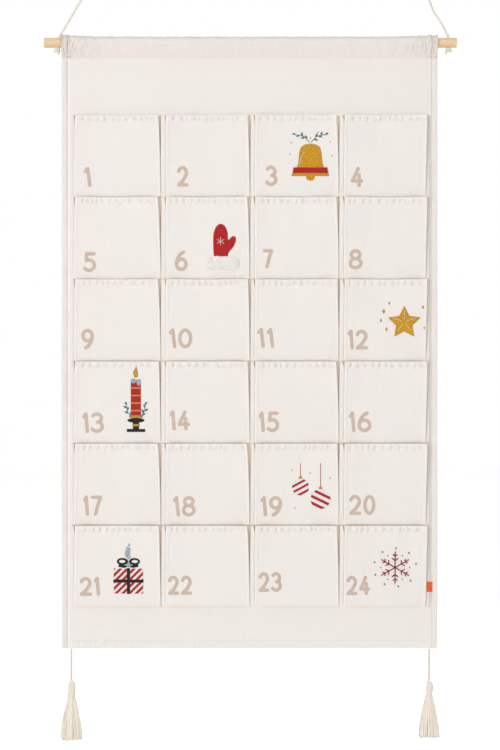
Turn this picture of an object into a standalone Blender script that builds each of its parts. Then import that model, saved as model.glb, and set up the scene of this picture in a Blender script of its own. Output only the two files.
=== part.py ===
"""Advent calendar of canvas with pleated pockets, hung from a wooden rod by its cord.

Metres, +Z up, front towards -Y. The origin lies between the two hanging loops, on the
plane of the cloth, so everything hangs below it.
"""

import math

import bmesh
import bpy
from mathutils import Matrix, Vector

# Cloth and the play between pieces
CANVAS = 0.0009
AIR = 0.0003
FOLD_GAP = 0.0004
OVERRUN = 0.002

# Rod
ROD_DROP = 0.100
ROD_LENGTH = 0.602
ROD_RADIUS = 0.0070
ROD_OFFSET = 0.0013
ROD_EASE = 0.0010
HOLE_RADIUS = 0.0025
HOLE_INSET_LEFT = 0.0204
HOLE_INSET_RIGHT = 0.0121
ROD_SIDES = 36
HOLE_SIDES = 16

# Backing cloth
CLOTH_WIDTH = 0.548
CLOTH_DROP = 0.8839
CASING_DROP = 0.0212
CASING_FLAP = 0.0070
SIDE_HEM = 0.0066
BOTTOM_HEM = 0.0108
CASING_STEPS = 14

# Pocket rows
ROWS = 6
COLUMNS = 4
FIRST_ROW_DROP = 0.1066
ROW_PITCH = 0.1196
ROW_GAP = 0.0008
STRIP_WIDTH = 0.5192
STRIP_OFFSET = 0.0026
RIDGE_WIDTH = 0.0044
POCKET_STAND = 0.0110
PLEAT_DEPTH = 0.0090
LEFT_INSET = 0.0043
RIGHT_INSET = 0.0022
LEFT_SPREAD = 0.0012
RIGHT_SPREAD = 0.0032
SEAM_HEIGHT = 0.0080
HEM_HEIGHT = 0.0110
SEAM_CLEARANCE = 0.0030
FOLD_ARC_SHARES = (1.0 / 3.0, 2.0 / 3.0)

# Hanging cord, its loops and knots
CORD_RADIUS = 0.0014
CORD_STEP = 0.0058
KNOT_LENGTH = 0.0105
KNOT_RADIUS = 0.0046
STOPPER_LENGTH = 0.0062
STOPPER_RADIUS = 0.0042
LEFT_TAILS = ((-0.0046, -0.0030), (0.0014, -0.0062))
RIGHT_TAILS = ((-0.0046, -0.0054), (0.0044, -0.0026))
LOOP_LENGTH = 0.0170
LOOP_WIDTH = 0.0105
KNOT_SIDES = 12
KNOT_LOBES = 3
KNOT_TURNS = 0.35

# Tassels
TASSEL_CORD_LENGTH = 0.0461
TASSEL_CORD_RADIUS = 0.0012
TASSEL_CORD_STEP = 0.0060
TASSEL_CORD_LEFT = -0.2600
TASSEL_CORD_RIGHT = 0.2621
TASSEL_HEAD_HEIGHT = 0.0195
TASSEL_HEAD_RADIUS = 0.0054
TASSEL_NECK_HEIGHT = 0.0042
TASSEL_NECK_RADIUS = 0.0034
TASSEL_SKIRT_LEFT = 0.0628
TASSEL_SKIRT_RIGHT = 0.0594
TASSEL_SKIRT_RADIUS = 0.0165
BINDING_WALL = 0.0010
BINDING_RIDGES = 3
BINDING_SIDES = 20
FLUTES = 12
FLUTE_STEPS = 4

# Side label
LABEL_WIDTH = 0.0086
LABEL_HEIGHT = 0.0149
LABEL_THICKNESS = 0.0007
LABEL_RISE = 0.0218

# Felt pieces sewn on three of the pockets
FELT = 0.0012
FELT_EASE = 0.0003
BELL_WIDTH = 0.0560
BELL_HEIGHT = 0.0480
BELL_ACROSS = 0.0860
BELL_UP = 0.0300
BAND_HEIGHT = 0.0090
BAND_UP = 0.0045
MITTEN_WIDTH = 0.0440
MITTEN_HEIGHT = 0.0480
MITTEN_ACROSS = 0.0880
MITTEN_UP = 0.0330
CUFF_WIDTH = 0.0480
CUFF_HEIGHT = 0.0190
CUFF_THICKNESS = 0.0040
CUFF_EASE = 0.0012
STAR_RADIUS = 0.0260
STAR_INNER_RADIUS = 0.0130
STAR_ACROSS = 0.0930
STAR_UP = 0.0560
STAR_POINTS = 5
OUTLINE_STEPS = 3

# Routes of the two strands of hanging cord, from under the rod up to the loop knot
LEFT_ROUTE = (
    (-0.2799, 0.0, -0.1070),
    (-0.2797, 0.0, -0.1000),
    (-0.2790, 0.0, -0.0940),
    (-0.2783, 0.0, -0.0918),
    (-0.2762, 0.0, -0.0888),
    (-0.2735, 0.0, -0.0850),
    (-0.2616, 0.0, -0.0646),
    (-0.2456, 0.0, -0.0372),
    (-0.2379, 0.0, -0.0240),
)
RIGHT_ROUTE = (
    (0.2905, 0.0, -0.1070),
    (0.2904, 0.0, -0.1000),
    (0.2901, 0.0, -0.0935),
    (0.2893, 0.0, -0.0895),
    (0.2850, 0.0, -0.0810),
    (0.2789, 0.0, -0.0698),
    (0.2685, 0.0, -0.0536),
    (0.2622, 0.0, -0.0372),
    (0.2572, 0.0, -0.0240),
)

# Shapes given as shares of the sizes that they follow
LOOP_SHARES = (
    (-0.17, 0.02),
    (-0.22, 0.18),
    (-0.37, 0.44),
    (-0.44, 0.66),
    (-0.29, 0.88),
    (0.0, 1.0),
    (0.29, 0.88),
    (0.44, 0.66),
    (0.37, 0.44),
    (0.22, 0.18),
    (0.17, 0.02),
)
KNOT_SHARES = (
    (0.0, 0.78), (0.12, 0.92), (0.32, 1.0), (0.5, 0.86), (0.68, 1.0), (0.88, 0.92), (1.0, 0.78),
)
KNOT_LOBE_SHARE = 0.12
HEAD_SHARES = (
    (0.0, 0.34), (0.06, 0.60), (0.2, 0.86), (0.45, 1.0), (0.75, 0.97), (0.93, 0.84), (1.0, 0.68),
)
SKIRT_SHARES = (
    (0.0, 0.30), (0.05, 0.36), (0.2, 0.48), (0.45, 0.66), (0.7, 0.80), (0.9, 0.90), (1.0, 1.0),
)
FLUTE_SHARE = 0.10
SKIRT_DEPTH_SHARE = 0.82
CORD_END_SHARES = (0.35, 0.8)
CORD_END_REACH_SHARE = 0.6
BINDING_RIDGE_SHARES = ((0.1, 0.5), (0.5, 1.0), (0.9, 0.5))
CUFF_CORNER_SHARE = 0.25
BELL_SHARES = (
    (0.0, 1.0), (0.14, 0.975), (0.255, 0.88), (0.30, 0.70), (0.315, 0.48), (0.36, 0.27), (0.45, 0.12),
    (0.5, 0.06),
)
CLAPPER_SHARES = ((0.12, 0.0), (0.115, -0.06), (0.07, -0.12), (0.0, -0.14))
MITTEN_SHARES = (
    (-0.30, 0.0), (-0.32, 0.35), (-0.31, 0.68), (-0.22, 0.91), (-0.06, 1.0), (0.10, 0.91),
    (0.18, 0.70), (0.19, 0.51), (0.30, 0.61), (0.42, 0.61), (0.45, 0.48), (0.36, 0.28),
    (0.22, 0.13), (0.18, 0.0),
)

# Places worked out from the sizes above
ROD_Z = -ROD_DROP
ROD_LEFT = ROD_OFFSET - ROD_LENGTH / 2
ROD_RIGHT = ROD_OFFSET + ROD_LENGTH / 2
CLOTH_BOTTOM = ROD_Z - CLOTH_DROP
HALF_CANVAS = CANVAS / 2
POCKET_PITCH = STRIP_WIDTH / COLUMNS
STRIP_LEFT = STRIP_OFFSET - STRIP_WIDTH / 2
STRIP_RIGHT = STRIP_OFFSET + STRIP_WIDTH / 2
ROW_HEIGHT = ROW_PITCH - ROW_GAP
FOLD = CANVAS + FOLD_GAP
FIRST_LAYER = HALF_CANVAS + AIR + HALF_CANVAS
FACE_LAYER = FIRST_LAYER + 2 * FOLD
TURNING_REACH = RIDGE_WIDTH / 2 + PLEAT_DEPTH + FOLD + SEAM_CLEARANCE
FACE_LEAN = math.atan2(POCKET_STAND, ROW_HEIGHT)

# How finely round shapes are divided, and the angles past which an edge stays sharp
ROUND_SMOOTH_DEGREES = 40
CLOTH_SMOOTH_DEGREES = 50
LUMP_SMOOTH_DEGREES = 60
TAIL_SIDES = 8
EASE_STEPS = 2

# Colours, roughness
CANVAS_LOOK = ((0.86, 0.83, 0.79, 1.0), 0.90)
WOOD_LOOK = ((0.78, 0.55, 0.30, 1.0), 0.55)
CORD_LOOK = ((0.84, 0.75, 0.62, 1.0), 0.85)
THREAD_LOOK = ((0.88, 0.83, 0.75, 1.0), 0.85)
LABEL_LOOK = ((0.87, 0.12, 0.05, 1.0), 0.70)
MUSTARD_LOOK = ((0.60, 0.30, 0.03, 1.0), 0.90)
RED_LOOK = ((0.48, 0.03, 0.03, 1.0), 0.90)
WHITE_LOOK = ((0.88, 0.87, 0.84, 1.0), 0.95)


def clear_scene():
    """Remove every object that the scene starts with."""
    for obj in list(bpy.data.objects):
        bpy.data.objects.remove(obj, do_unlink=True)


def make_material(name, look):
    """Return a matt Principled material of one colour."""
    colour, roughness = look
    material = bpy.data.materials.new(name)
    material.use_nodes = True
    shader = material.node_tree.nodes["Principled BSDF"]
    shader.inputs["Base Color"].default_value = colour
    shader.inputs["Roughness"].default_value = roughness
    shader.inputs["Metallic"].default_value = 0.0
    material.diffuse_color = colour
    return material


def add_object(name, data, look, parent=None):
    """Link an object with its own material, under a parent if it has one."""
    obj = bpy.data.objects.new(name, data)
    bpy.context.scene.collection.objects.link(obj)
    data.materials.append(make_material(name, look))
    if parent is not None:
        obj.parent = parent
        obj.matrix_parent_inverse = parent.matrix_world.inverted()
    return obj


def add_pivot(name, place, parent=None):
    """Return an empty that stands on a joint's axis."""
    pivot = bpy.data.objects.new(name, None)
    bpy.context.scene.collection.objects.link(pivot)
    pivot.matrix_world = Matrix.Translation(place)
    if parent is not None:
        pivot.parent = parent
        pivot.matrix_parent_inverse = parent.matrix_world.inverted()
    bpy.context.view_layer.update()
    return pivot


def finish_mesh(bm, name, smooth_degrees=None):
    """Turn a bmesh into a mesh whose faces point out, smooth where it is round."""
    bmesh.ops.recalc_face_normals(bm, faces=bm.faces)
    mesh = bpy.data.meshes.new(name)
    bm.to_mesh(mesh)
    bm.free()
    if smooth_degrees is not None:
        mesh.shade_smooth()
        mesh.set_sharp_from_angle(angle=math.radians(smooth_degrees))
    return mesh


def loft(bm, rings, caps):
    """Skin closed rings of equal length and close both ends.

    Each cap is a list of faces, as tuples of places in the ring.
    """
    made = [[bm.verts.new(point) for point in ring] for ring in rings]
    count = len(made[0])
    for low, high in zip(made, made[1:]):
        for place in range(count):
            after = (place + 1) % count
            bm.faces.new((low[place], low[after], high[after], high[place]))
    for end in (made[0], made[-1]):
        for face in caps:
            bm.faces.new([end[place] for place in face])
    return made


def cloth_outline(centre, half):
    """Return the outline of a bent layer of cloth, mitred at its bends, and its cap faces."""
    near = []
    far = []
    last = len(centre) - 1
    for place, point in enumerate(centre):
        before = (point - centre[place - 1]).normalized() if place > 0 else None
        after = (centre[place + 1] - point).normalized() if place < last else None
        if before is None or after is None:
            along = after if before is None else before
            normal = Vector((-along.y, along.x)) * half
        else:
            side_before = Vector((-before.y, before.x))
            side_after = Vector((-after.y, after.x))
            middle = (side_before + side_after).normalized()
            normal = middle * half / middle.dot(side_after)
        near.append(point + normal)
        far.append(point - normal)
    total = 2 * len(centre)
    caps = [(place, place + 1, total - 2 - place, total - 1 - place) for place in range(last)]
    return near + far[::-1], caps


def smooth_points(points, spacing):
    """Read points at about one spacing from a smooth curve through the given points."""
    knots = [Vector(point) for point in points]
    ends = [2 * knots[0] - knots[1]] + knots + [2 * knots[-1] - knots[-2]]
    result = []
    for place in range(1, len(ends) - 2):
        a, b, c, d = ends[place - 1:place + 3]
        steps = max(1, round((c - b).length / spacing))
        for step in range(steps):
            t = step / steps
            first = -a + 3 * b - 3 * c + d
            second = 2 * a - 5 * b + 4 * c - d
            third = c - a
            result.append(b + (third * t + second * t ** 2 + first * t ** 3) / 2)
    result.append(knots[-1])
    return result


def add_tube(name, points, radius, look, end_shares=None, parent=None):
    """Add a cord as a curve with a round bevel and filled ends.

    End shares are the radius shares of the points at each end, for a rounded end.
    """
    curve = bpy.data.curves.new(name, "CURVE")
    curve.dimensions = "3D"
    curve.bevel_depth = radius
    curve.bevel_resolution = 2
    curve.use_fill_caps = True
    spline = curve.splines.new("POLY")
    spline.points.add(len(points) - 1)
    for target, point in zip(spline.points, points):
        target.co = (point[0], point[1], point[2], 1.0)
    for place, share in enumerate(end_shares or ()):
        spline.points[place].radius = share
        spline.points[len(points) - 1 - place].radius = share
    return add_object(name, curve, look, parent)


def add_cutter(name, bm):
    """Add a hidden guide object that a Boolean modifier reads."""
    cutter = bpy.data.objects.new(name, finish_mesh(bm, name))
    bpy.context.scene.collection.objects.link(cutter)
    cutter.hide_render = True
    cutter.display_type = "WIRE"
    return cutter


def add_boolean(obj, cutter, operation, crossing=False):
    """Cut an object with a guide, or join the guide to it.

    Crossing says that the guide's own bodies run through each other.
    """
    boolean = obj.modifiers.new(operation.title(), "BOOLEAN")
    boolean.operation = operation
    boolean.solver = "EXACT"
    boolean.use_self = crossing
    boolean.object = cutter


def hole_places():
    """Return the middle of each cord hole in the rod."""
    left = Vector((ROD_LEFT + HOLE_INSET_LEFT, 0.0, ROD_Z))
    right = Vector((ROD_RIGHT - HOLE_INSET_RIGHT, 0.0, ROD_Z))
    return left, right


def add_rod():
    """Turn the rod with eased ends and drill it for the cord."""
    bm = bmesh.new()
    turn = Matrix.Rotation(math.pi / 2, 4, "Y")
    bmesh.ops.create_cone(
        bm, cap_ends=True, segments=ROD_SIDES, radius1=ROD_RADIUS, radius2=ROD_RADIUS,
        depth=ROD_LENGTH, matrix=Matrix.Translation((ROD_OFFSET, 0.0, ROD_Z)) @ turn)
    ends = [face for face in bm.faces if abs(face.normal.x) > math.cos(math.pi / 4)]
    rims = list({edge for face in ends for edge in face.edges})
    bmesh.ops.bevel(
        bm, geom=rims, offset=ROD_EASE, offset_type="OFFSET", segments=EASE_STEPS, profile=0.5,
        affect="EDGES", material=-1)
    rod = add_object("top_rod", finish_mesh(bm, "top_rod", ROUND_SMOOTH_DEGREES), WOOD_LOOK)
    holes = bmesh.new()
    for place in hole_places():
        bmesh.ops.create_cone(
            holes, cap_ends=True, segments=HOLE_SIDES, radius1=HOLE_RADIUS,
            radius2=HOLE_RADIUS, depth=2 * (ROD_RADIUS + OVERRUN),
            matrix=Matrix.Translation(place))
    add_boolean(rod, add_cutter("rod_holes", holes), "DIFFERENCE")


def knot_rings(base, along, length, radius):
    """Return the rings of a round lump of knotted cord, lobed and twisted."""
    turn = along.to_track_quat("Z", "X")
    rings = []
    for up_share, out_share in KNOT_SHARES:
        ring = []
        for side in range(KNOT_SIDES):
            angle = math.tau * side / KNOT_SIDES
            lobe = math.cos(KNOT_LOBES * angle + math.tau * KNOT_TURNS * up_share)
            reach = radius * out_share * (1.0 - KNOT_LOBE_SHARE + KNOT_LOBE_SHARE * lobe)
            local = Vector((reach * math.cos(angle), reach * math.sin(angle), length * up_share))
            ring.append(base + turn @ local)
        rings.append(ring)
    return rings


def add_knot(name, base, along, length, radius):
    """Add one knot, from its base along the cord."""
    bm = bmesh.new()
    loft(bm, knot_rings(base, along, length, radius), [tuple(range(KNOT_SIDES))])
    return add_object(name, finish_mesh(bm, name, LUMP_SMOOTH_DEGREES), CORD_LOOK)


def add_stopper(name, top, tail_ends):
    """Add the knot that holds the cord under the rod, with its two short tails."""
    knot = add_knot(name, top, Vector((0.0, 0.0, -1.0)), STOPPER_LENGTH, STOPPER_RADIUS)
    tails = bmesh.new()
    root = top - Vector((0.0, 0.0, STOPPER_LENGTH / 2))
    for over, up in tail_ends:
        reach = Vector((over, 0.0, up))
        turn = reach.to_track_quat("Z", "X").to_matrix().to_4x4()
        middle = root + reach / 2
        bmesh.ops.create_cone(
            tails, cap_ends=True, segments=TAIL_SIDES, radius1=CORD_RADIUS, radius2=CORD_RADIUS,
            depth=reach.length, matrix=Matrix.Translation(middle) @ turn)
    add_boolean(knot, add_cutter(name + "_tails", tails), "UNION", crossing=True)


def add_hanging_cord(side, route, tail_ends):
    """Add one strand of the cord, its stopper knot, its loop knot and its loop."""
    points = smooth_points(route, CORD_STEP)
    add_tube("hanging_cord_" + side, points, CORD_RADIUS, CORD_LOOK)
    add_stopper("stopper_knot_" + side, points[0] - Vector((0.0, 0.0, AIR)), tail_ends)
    along = (points[-1] - points[-2]).normalized()
    base = points[-1] + along * AIR
    add_knot("loop_knot_" + side, base, along, KNOT_LENGTH, KNOT_RADIUS)
    across = Vector((along.z, 0.0, -along.x))
    foot = base + along * (KNOT_LENGTH + AIR)
    loop = [
        foot + across * (LOOP_WIDTH * over) + along * (LOOP_LENGTH * up)
        for over, up in LOOP_SHARES
    ]
    add_tube("hanging_loop_" + side, smooth_points(loop, 2 * CORD_RADIUS), CORD_RADIUS, CORD_LOOK)


def casing_centre():
    """Return the backing cloth's middle line from the casing's flap over the rod to the hem.

    The first value of each point is towards the back and the second is up.
    """
    reach = ROD_RADIUS + AIR + HALF_CANVAS
    back = CANVAS + AIR
    seam = ROD_Z - CASING_DROP
    front_turn = math.acos(reach / CASING_DROP)
    back_turn = math.acos(reach / math.hypot(CASING_DROP, back)) + math.atan2(back, CASING_DROP)
    points = [Vector((back, seam - CASING_FLAP)), Vector((back, seam))]
    sweep = math.tau - front_turn - back_turn
    for step in range(CASING_STEPS + 1):
        angle = back_turn + sweep * step / CASING_STEPS
        points.append(Vector((reach * math.sin(angle), ROD_Z - reach * math.cos(angle))))
    points.append(Vector((0.0, seam)))
    points.append(Vector((0.0, seam - CASING_FLAP - AIR)))
    points.append(Vector((0.0, CLOTH_BOTTOM + BOTTOM_HEM)))
    points.append(Vector((0.0, CLOTH_BOTTOM)))
    return points


def add_backing(parent):
    """Add the backing: rod casing, plain cloth, and hems turned to the back."""
    outline, caps = cloth_outline(casing_centre(), HALF_CANVAS)
    half = CLOTH_WIDTH / 2
    stations = (-half, -half + SIDE_HEM, half - SIDE_HEM, half)
    bm = bmesh.new()
    loft(bm, [[(x, point.x, point.y) for point in outline] for x in stations], caps)
    bmesh.ops.recalc_face_normals(bm, faces=bm.faces)
    hem_top = ROD_Z - CASING_DROP - CASING_FLAP
    hems = []
    for face in bm.faces:
        middle = face.calc_center_median()
        at_back = face.normal.y > math.cos(math.pi / 4) and middle.z < hem_top
        in_side_hem = abs(middle.x) > half - SIDE_HEM
        in_bottom_hem = middle.z < CLOTH_BOTTOM + BOTTOM_HEM
        if at_back and (in_side_hem or in_bottom_hem):
            hems.append(face)
    raised = bmesh.ops.extrude_face_region(bm, geom=hems)
    moved = [item for item in raised["geom"] if isinstance(item, bmesh.types.BMVert)]
    bmesh.ops.translate(bm, verts=moved, vec=(0.0, CANVAS, 0.0))
    bmesh.ops.delete(bm, geom=hems, context="FACES")
    cloth = finish_mesh(bm, "backing_cloth", ROUND_SMOOTH_DEGREES)
    add_object("backing_cloth", cloth, CANVAS_LOOK, parent)


def face_edges(left_seam, right_seam, share):
    """Return where a pocket's face ends at each side, at a share of the pocket's height."""
    turn = (FOLD + CANVAS) / 2
    left = left_seam + LEFT_INSET + LEFT_SPREAD * share + turn
    right = right_seam - RIGHT_INSET - RIGHT_SPREAD * share - turn
    return left, right


def gusset(seam, edge, share):
    """Return one gusset's middle line from its seam to the face's edge.

    The cloth runs in under the face, turns back in a fold and comes out to the edge. The
    stretches on both sides of the fold keep their length as the pocket opens.
    """
    side = 1.0 if edge > seam else -1.0
    stand = POCKET_STAND * share
    face = FACE_LAYER + stand
    middle = (FIRST_LAYER + face - FOLD) / 2
    start = seam + side * RIDGE_WIDTH / 2
    run = math.sqrt(max(PLEAT_DEPTH ** 2 - (stand / 2) ** 2, 0.0))
    fold = (start + edge) / 2 + side * run
    points = [
        Vector((start, FIRST_LAYER)),
        Vector((fold, middle - FOLD / 2)),
        Vector((fold + side * FOLD / 2, middle)),
        Vector((fold, middle + FOLD / 2)),
        Vector((edge, face - FOLD)),
    ]
    for arc_share in FOLD_ARC_SHARES:
        angle = math.pi * arc_share
        out = side * FOLD / 2 * math.sin(angle)
        points.append(Vector((edge - out, face - FOLD / 2 - FOLD / 2 * math.cos(angle))))
    points.append(Vector((edge, face)))
    return points


def strip_centre(share):
    """Return a pocket strip's middle line from end to end, at a share of its height."""
    points = [Vector((STRIP_LEFT, FIRST_LAYER))]
    for column in range(COLUMNS):
        left_seam = STRIP_LEFT + POCKET_PITCH * column
        right_seam = left_seam + POCKET_PITCH
        left, right = face_edges(left_seam, right_seam, share)
        points += gusset(left_seam, left, share)
        points.append(Vector((left_seam + TURNING_REACH, FACE_LAYER + POCKET_STAND * share)))
        points.append(Vector((right_seam - TURNING_REACH, FACE_LAYER + POCKET_STAND * share)))
        points += gusset(right_seam, right, share)[::-1]
    points.append(Vector((STRIP_RIGHT, FIRST_LAYER)))
    return points


def row_bottom(row):
    """Return the height of a pocket row's bottom seam."""
    return ROD_Z - FIRST_ROW_DROP - ROW_PITCH * row - ROW_HEIGHT


def turn_in(bm, column, low, high, depth):
    """Turn in one stretch of a pocket's edge: thicken the face's back between two heights.

    Depth is how far the turned cloth reaches to the back, or None for as far as the backing.
    """
    centre = STRIP_LEFT + POCKET_PITCH * (column + 1 / 2)
    faces = []
    for face in bm.faces:
        middle = face.calc_center_median()
        at_back = face.normal.y > math.cos(math.pi / 4)
        in_face = abs(middle.x - centre) < POCKET_PITCH / 2 - TURNING_REACH
        if at_back and in_face and low < middle.z < high:
            faces.append(face)
    raised = bmesh.ops.extrude_face_region(bm, geom=faces)
    for item in raised["geom"]:
        if isinstance(item, bmesh.types.BMVert):
            item.co.y = -HALF_CANVAS - AIR if depth is None else item.co.y + depth
    bmesh.ops.delete(bm, geom=faces, context="FACES")


def add_pocket_row(row, parent):
    """Add one continuous strip pleated into a row of pockets that open at the top."""
    name = f"pocket_row_{row + 1}"
    bottom = row_bottom(row)
    heights = (0.0, SEAM_HEIGHT, ROW_HEIGHT - HEM_HEIGHT, ROW_HEIGHT)
    rings = []
    for height in heights:
        outline, caps = cloth_outline(strip_centre(height / ROW_HEIGHT), HALF_CANVAS)
        rings.append([(point.x, -point.y, bottom + height) for point in outline])
    bm = bmesh.new()
    loft(bm, rings, caps)
    bmesh.ops.recalc_face_normals(bm, faces=bm.faces)
    for column in range(COLUMNS):
        turn_in(bm, column, bottom, bottom + SEAM_HEIGHT, None)
        turn_in(bm, column, bottom + ROW_HEIGHT - HEM_HEIGHT, bottom + ROW_HEIGHT, CANVAS)
    strip = finish_mesh(bm, name, CLOTH_SMOOTH_DEGREES)
    add_object(name, strip, CANVAS_LOOK, parent)


def face_matrix(row, column):
    """Return the matrix of a pocket's front face, from its lower left seam.

    Its X runs across, its Y up the leaning face and its Z out of the cloth.
    """
    left_seam = STRIP_LEFT + POCKET_PITCH * column
    corner = Vector((left_seam, -FACE_LAYER - HALF_CANVAS, row_bottom(row)))
    upright = Matrix.Rotation(math.pi / 2 + FACE_LEAN, 4, "X")
    return Matrix.Translation(corner) @ upright


def add_flat_piece(name, outline, thickness, ease, place, look, parent):
    """Cut a flat piece from an outline, ease its edges and lay it at a place.

    The outline's points are in the place's own X and Y, and the piece rises along its Z.
    """
    bm = bmesh.new()
    face = bm.faces.new([bm.verts.new((x, y, 0.0)) for x, y in outline])
    grown = bmesh.ops.extrude_face_region(bm, geom=[face])
    top = [item for item in grown["geom"] if isinstance(item, bmesh.types.BMVert)]
    bmesh.ops.translate(bm, verts=top, vec=(0.0, 0.0, thickness))
    bmesh.ops.recalc_face_normals(bm, faces=bm.faces)
    upper = [item for item in grown["geom"] if isinstance(item, bmesh.types.BMFace)]
    rim = [edge for item in upper for edge in item.edges]
    bmesh.ops.bevel(
        bm, geom=rim, offset=ease, offset_type="OFFSET", segments=1, profile=0.5,
        affect="EDGES", material=-1, clamp_overlap=True)
    bmesh.ops.transform(bm, matrix=place, verts=bm.verts)
    return add_object(name, finish_mesh(bm, name, CLOTH_SMOOTH_DEGREES), look, parent)


def outline_through(shares, width, height):
    """Return a closed outline read from a smooth curve through shares of a size."""
    knots = [Vector((x * width, y * height)) for x, y in shares]
    outline = []
    for place in range(len(knots) - 1):
        a = knots[max(place - 1, 0)]
        b = knots[place]
        c = knots[place + 1]
        d = knots[min(place + 2, len(knots) - 1)]
        for step in range(OUTLINE_STEPS):
            t = step / OUTLINE_STEPS
            first = -a + 3 * b - 3 * c + d
            second = 2 * a - 5 * b + 4 * c - d
            point = b + ((c - a) * t + second * t ** 2 + first * t ** 3) / 2
            outline.append((point.x, point.y))
    outline.append(tuple(knots[-1]))
    return outline


def add_bell(parent):
    """Add the felt bell and the band across its mouth."""
    place = face_matrix(0, 2) @ Matrix.Translation((BELL_ACROSS, BELL_UP, AIR))
    right = outline_through(BELL_SHARES, BELL_WIDTH, BELL_HEIGHT)
    right.append((BELL_WIDTH / 2, 0.0))
    right += outline_through(CLAPPER_SHARES, BELL_WIDTH, BELL_HEIGHT)
    left = [(-x, y) for x, y in right[-2:0:-1]]
    add_flat_piece("felt_bell", right + left, FELT, FELT_EASE, place, MUSTARD_LOOK, parent)
    inset = FELT + AIR
    half = BELL_WIDTH / 2 - inset
    low = BAND_UP
    high = BAND_UP + BAND_HEIGHT
    band = [(-half, low), (half, low), (half - inset, high), (inset - half, high)]
    over = place @ Matrix.Translation((0.0, 0.0, FELT + AIR))
    add_flat_piece("bell_band", band, FELT, FELT_EASE, over, RED_LOOK, parent)


def add_mitten(parent):
    """Add the felt mitten and its thick fleece cuff."""
    place = face_matrix(1, 1) @ Matrix.Translation((MITTEN_ACROSS, MITTEN_UP, AIR))
    outline = outline_through(MITTEN_SHARES, MITTEN_WIDTH, MITTEN_HEIGHT)
    add_flat_piece("felt_mitten", outline, FELT, FELT_EASE, place, RED_LOOK, parent)
    half = CUFF_WIDTH / 2
    low = -CUFF_HEIGHT - AIR
    corner = CUFF_HEIGHT * CUFF_CORNER_SHARE
    cuff = [
        (corner - half, low), (half - corner, low), (half, low + corner), (half, -AIR - corner),
        (half - corner, -AIR), (corner - half, -AIR), (-half, -AIR - corner), (-half, low + corner),
    ]
    add_flat_piece("mitten_cuff", cuff, CUFF_THICKNESS, CUFF_EASE, place, WHITE_LOOK, parent)


def add_star(parent):
    """Add the felt star."""
    place = face_matrix(2, 3) @ Matrix.Translation((STAR_ACROSS, STAR_UP, AIR))
    outline = []
    for corner in range(2 * STAR_POINTS):
        radius = STAR_INNER_RADIUS if corner % 2 else STAR_RADIUS
        angle = math.pi / 2 + math.pi * corner / STAR_POINTS
        outline.append((radius * math.cos(angle), radius * math.sin(angle)))
    add_flat_piece("felt_star", outline, FELT, FELT_EASE, place, MUSTARD_LOOK, parent)


def add_label(parent):
    """Add the folded tab sewn to the lowest strip's right end."""
    on_strip = FIRST_LAYER + HALF_CANVAS + AIR + LABEL_THICKNESS / 2
    on_cloth = HALF_CANVAS + AIR + LABEL_THICKNESS / 2
    start = STRIP_RIGHT - RIDGE_WIDTH / 2 + AIR
    step = STRIP_RIGHT + LABEL_THICKNESS
    end = start + LABEL_WIDTH
    centre = [
        Vector((start, on_strip)), Vector((step, on_strip)),
        Vector((step + LABEL_THICKNESS, on_cloth)), Vector((end, on_cloth)),
    ]
    outline, caps = cloth_outline(centre, LABEL_THICKNESS / 2)
    low = row_bottom(ROWS - 1) + LABEL_RISE
    bm = bmesh.new()
    heights = (low, low + LABEL_HEIGHT)
    loft(bm, [[(point.x, -point.y, height) for point in outline] for height in heights], caps)
    add_object("side_label", finish_mesh(bm, "side_label"), LABEL_LOOK, parent)


def tassel_ring(centre, height, radius, depth_share, flute_share, turn):
    """Return one ring of the thread bundle, with a groove between its strands."""
    count = FLUTES * FLUTE_STEPS
    ring = []
    for place in range(count):
        angle = math.tau * place / count
        reach = radius * (1.0 - flute_share + flute_share * math.cos(FLUTES * angle + turn))
        x = centre.x + reach * math.cos(angle)
        y = centre.y + reach * math.sin(angle) * depth_share
        ring.append((x, y, height))
    return ring


def add_tassel(side, top, skirt, parent):
    """Add the folded bundle of threads, head and skirt, and the binding round its neck."""
    rings = []
    for down_share, out_share in HEAD_SHARES:
        height = top.z - TASSEL_HEAD_HEIGHT * down_share
        radius = TASSEL_HEAD_RADIUS * out_share
        rings.append(tassel_ring(top, height, radius, 1.0, FLUTE_SHARE / 2, 0.0))
    neck_top = top.z - TASSEL_HEAD_HEIGHT - AIR
    neck_bottom = neck_top - TASSEL_NECK_HEIGHT
    for height in (neck_top, neck_bottom):
        rings.append(tassel_ring(top, height, TASSEL_NECK_RADIUS, 1.0, FLUTE_SHARE / 4, 0.0))
    for down_share, out_share in SKIRT_SHARES:
        height = neck_bottom - AIR - skirt * down_share
        radius = TASSEL_SKIRT_RADIUS * out_share
        depth = 1.0 - (1.0 - SKIRT_DEPTH_SHARE) * down_share
        rings.append(tassel_ring(top, height, radius, depth, FLUTE_SHARE, 0.0))
    bm = bmesh.new()
    count = FLUTES * FLUTE_STEPS
    loft(bm, rings, [tuple(range(count))])
    name = "tassel_threads_" + side
    add_object(name, finish_mesh(bm, name, LUMP_SMOOTH_DEGREES), THREAD_LOOK, parent)
    add_binding(side, top, neck_bottom, parent)


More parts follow.
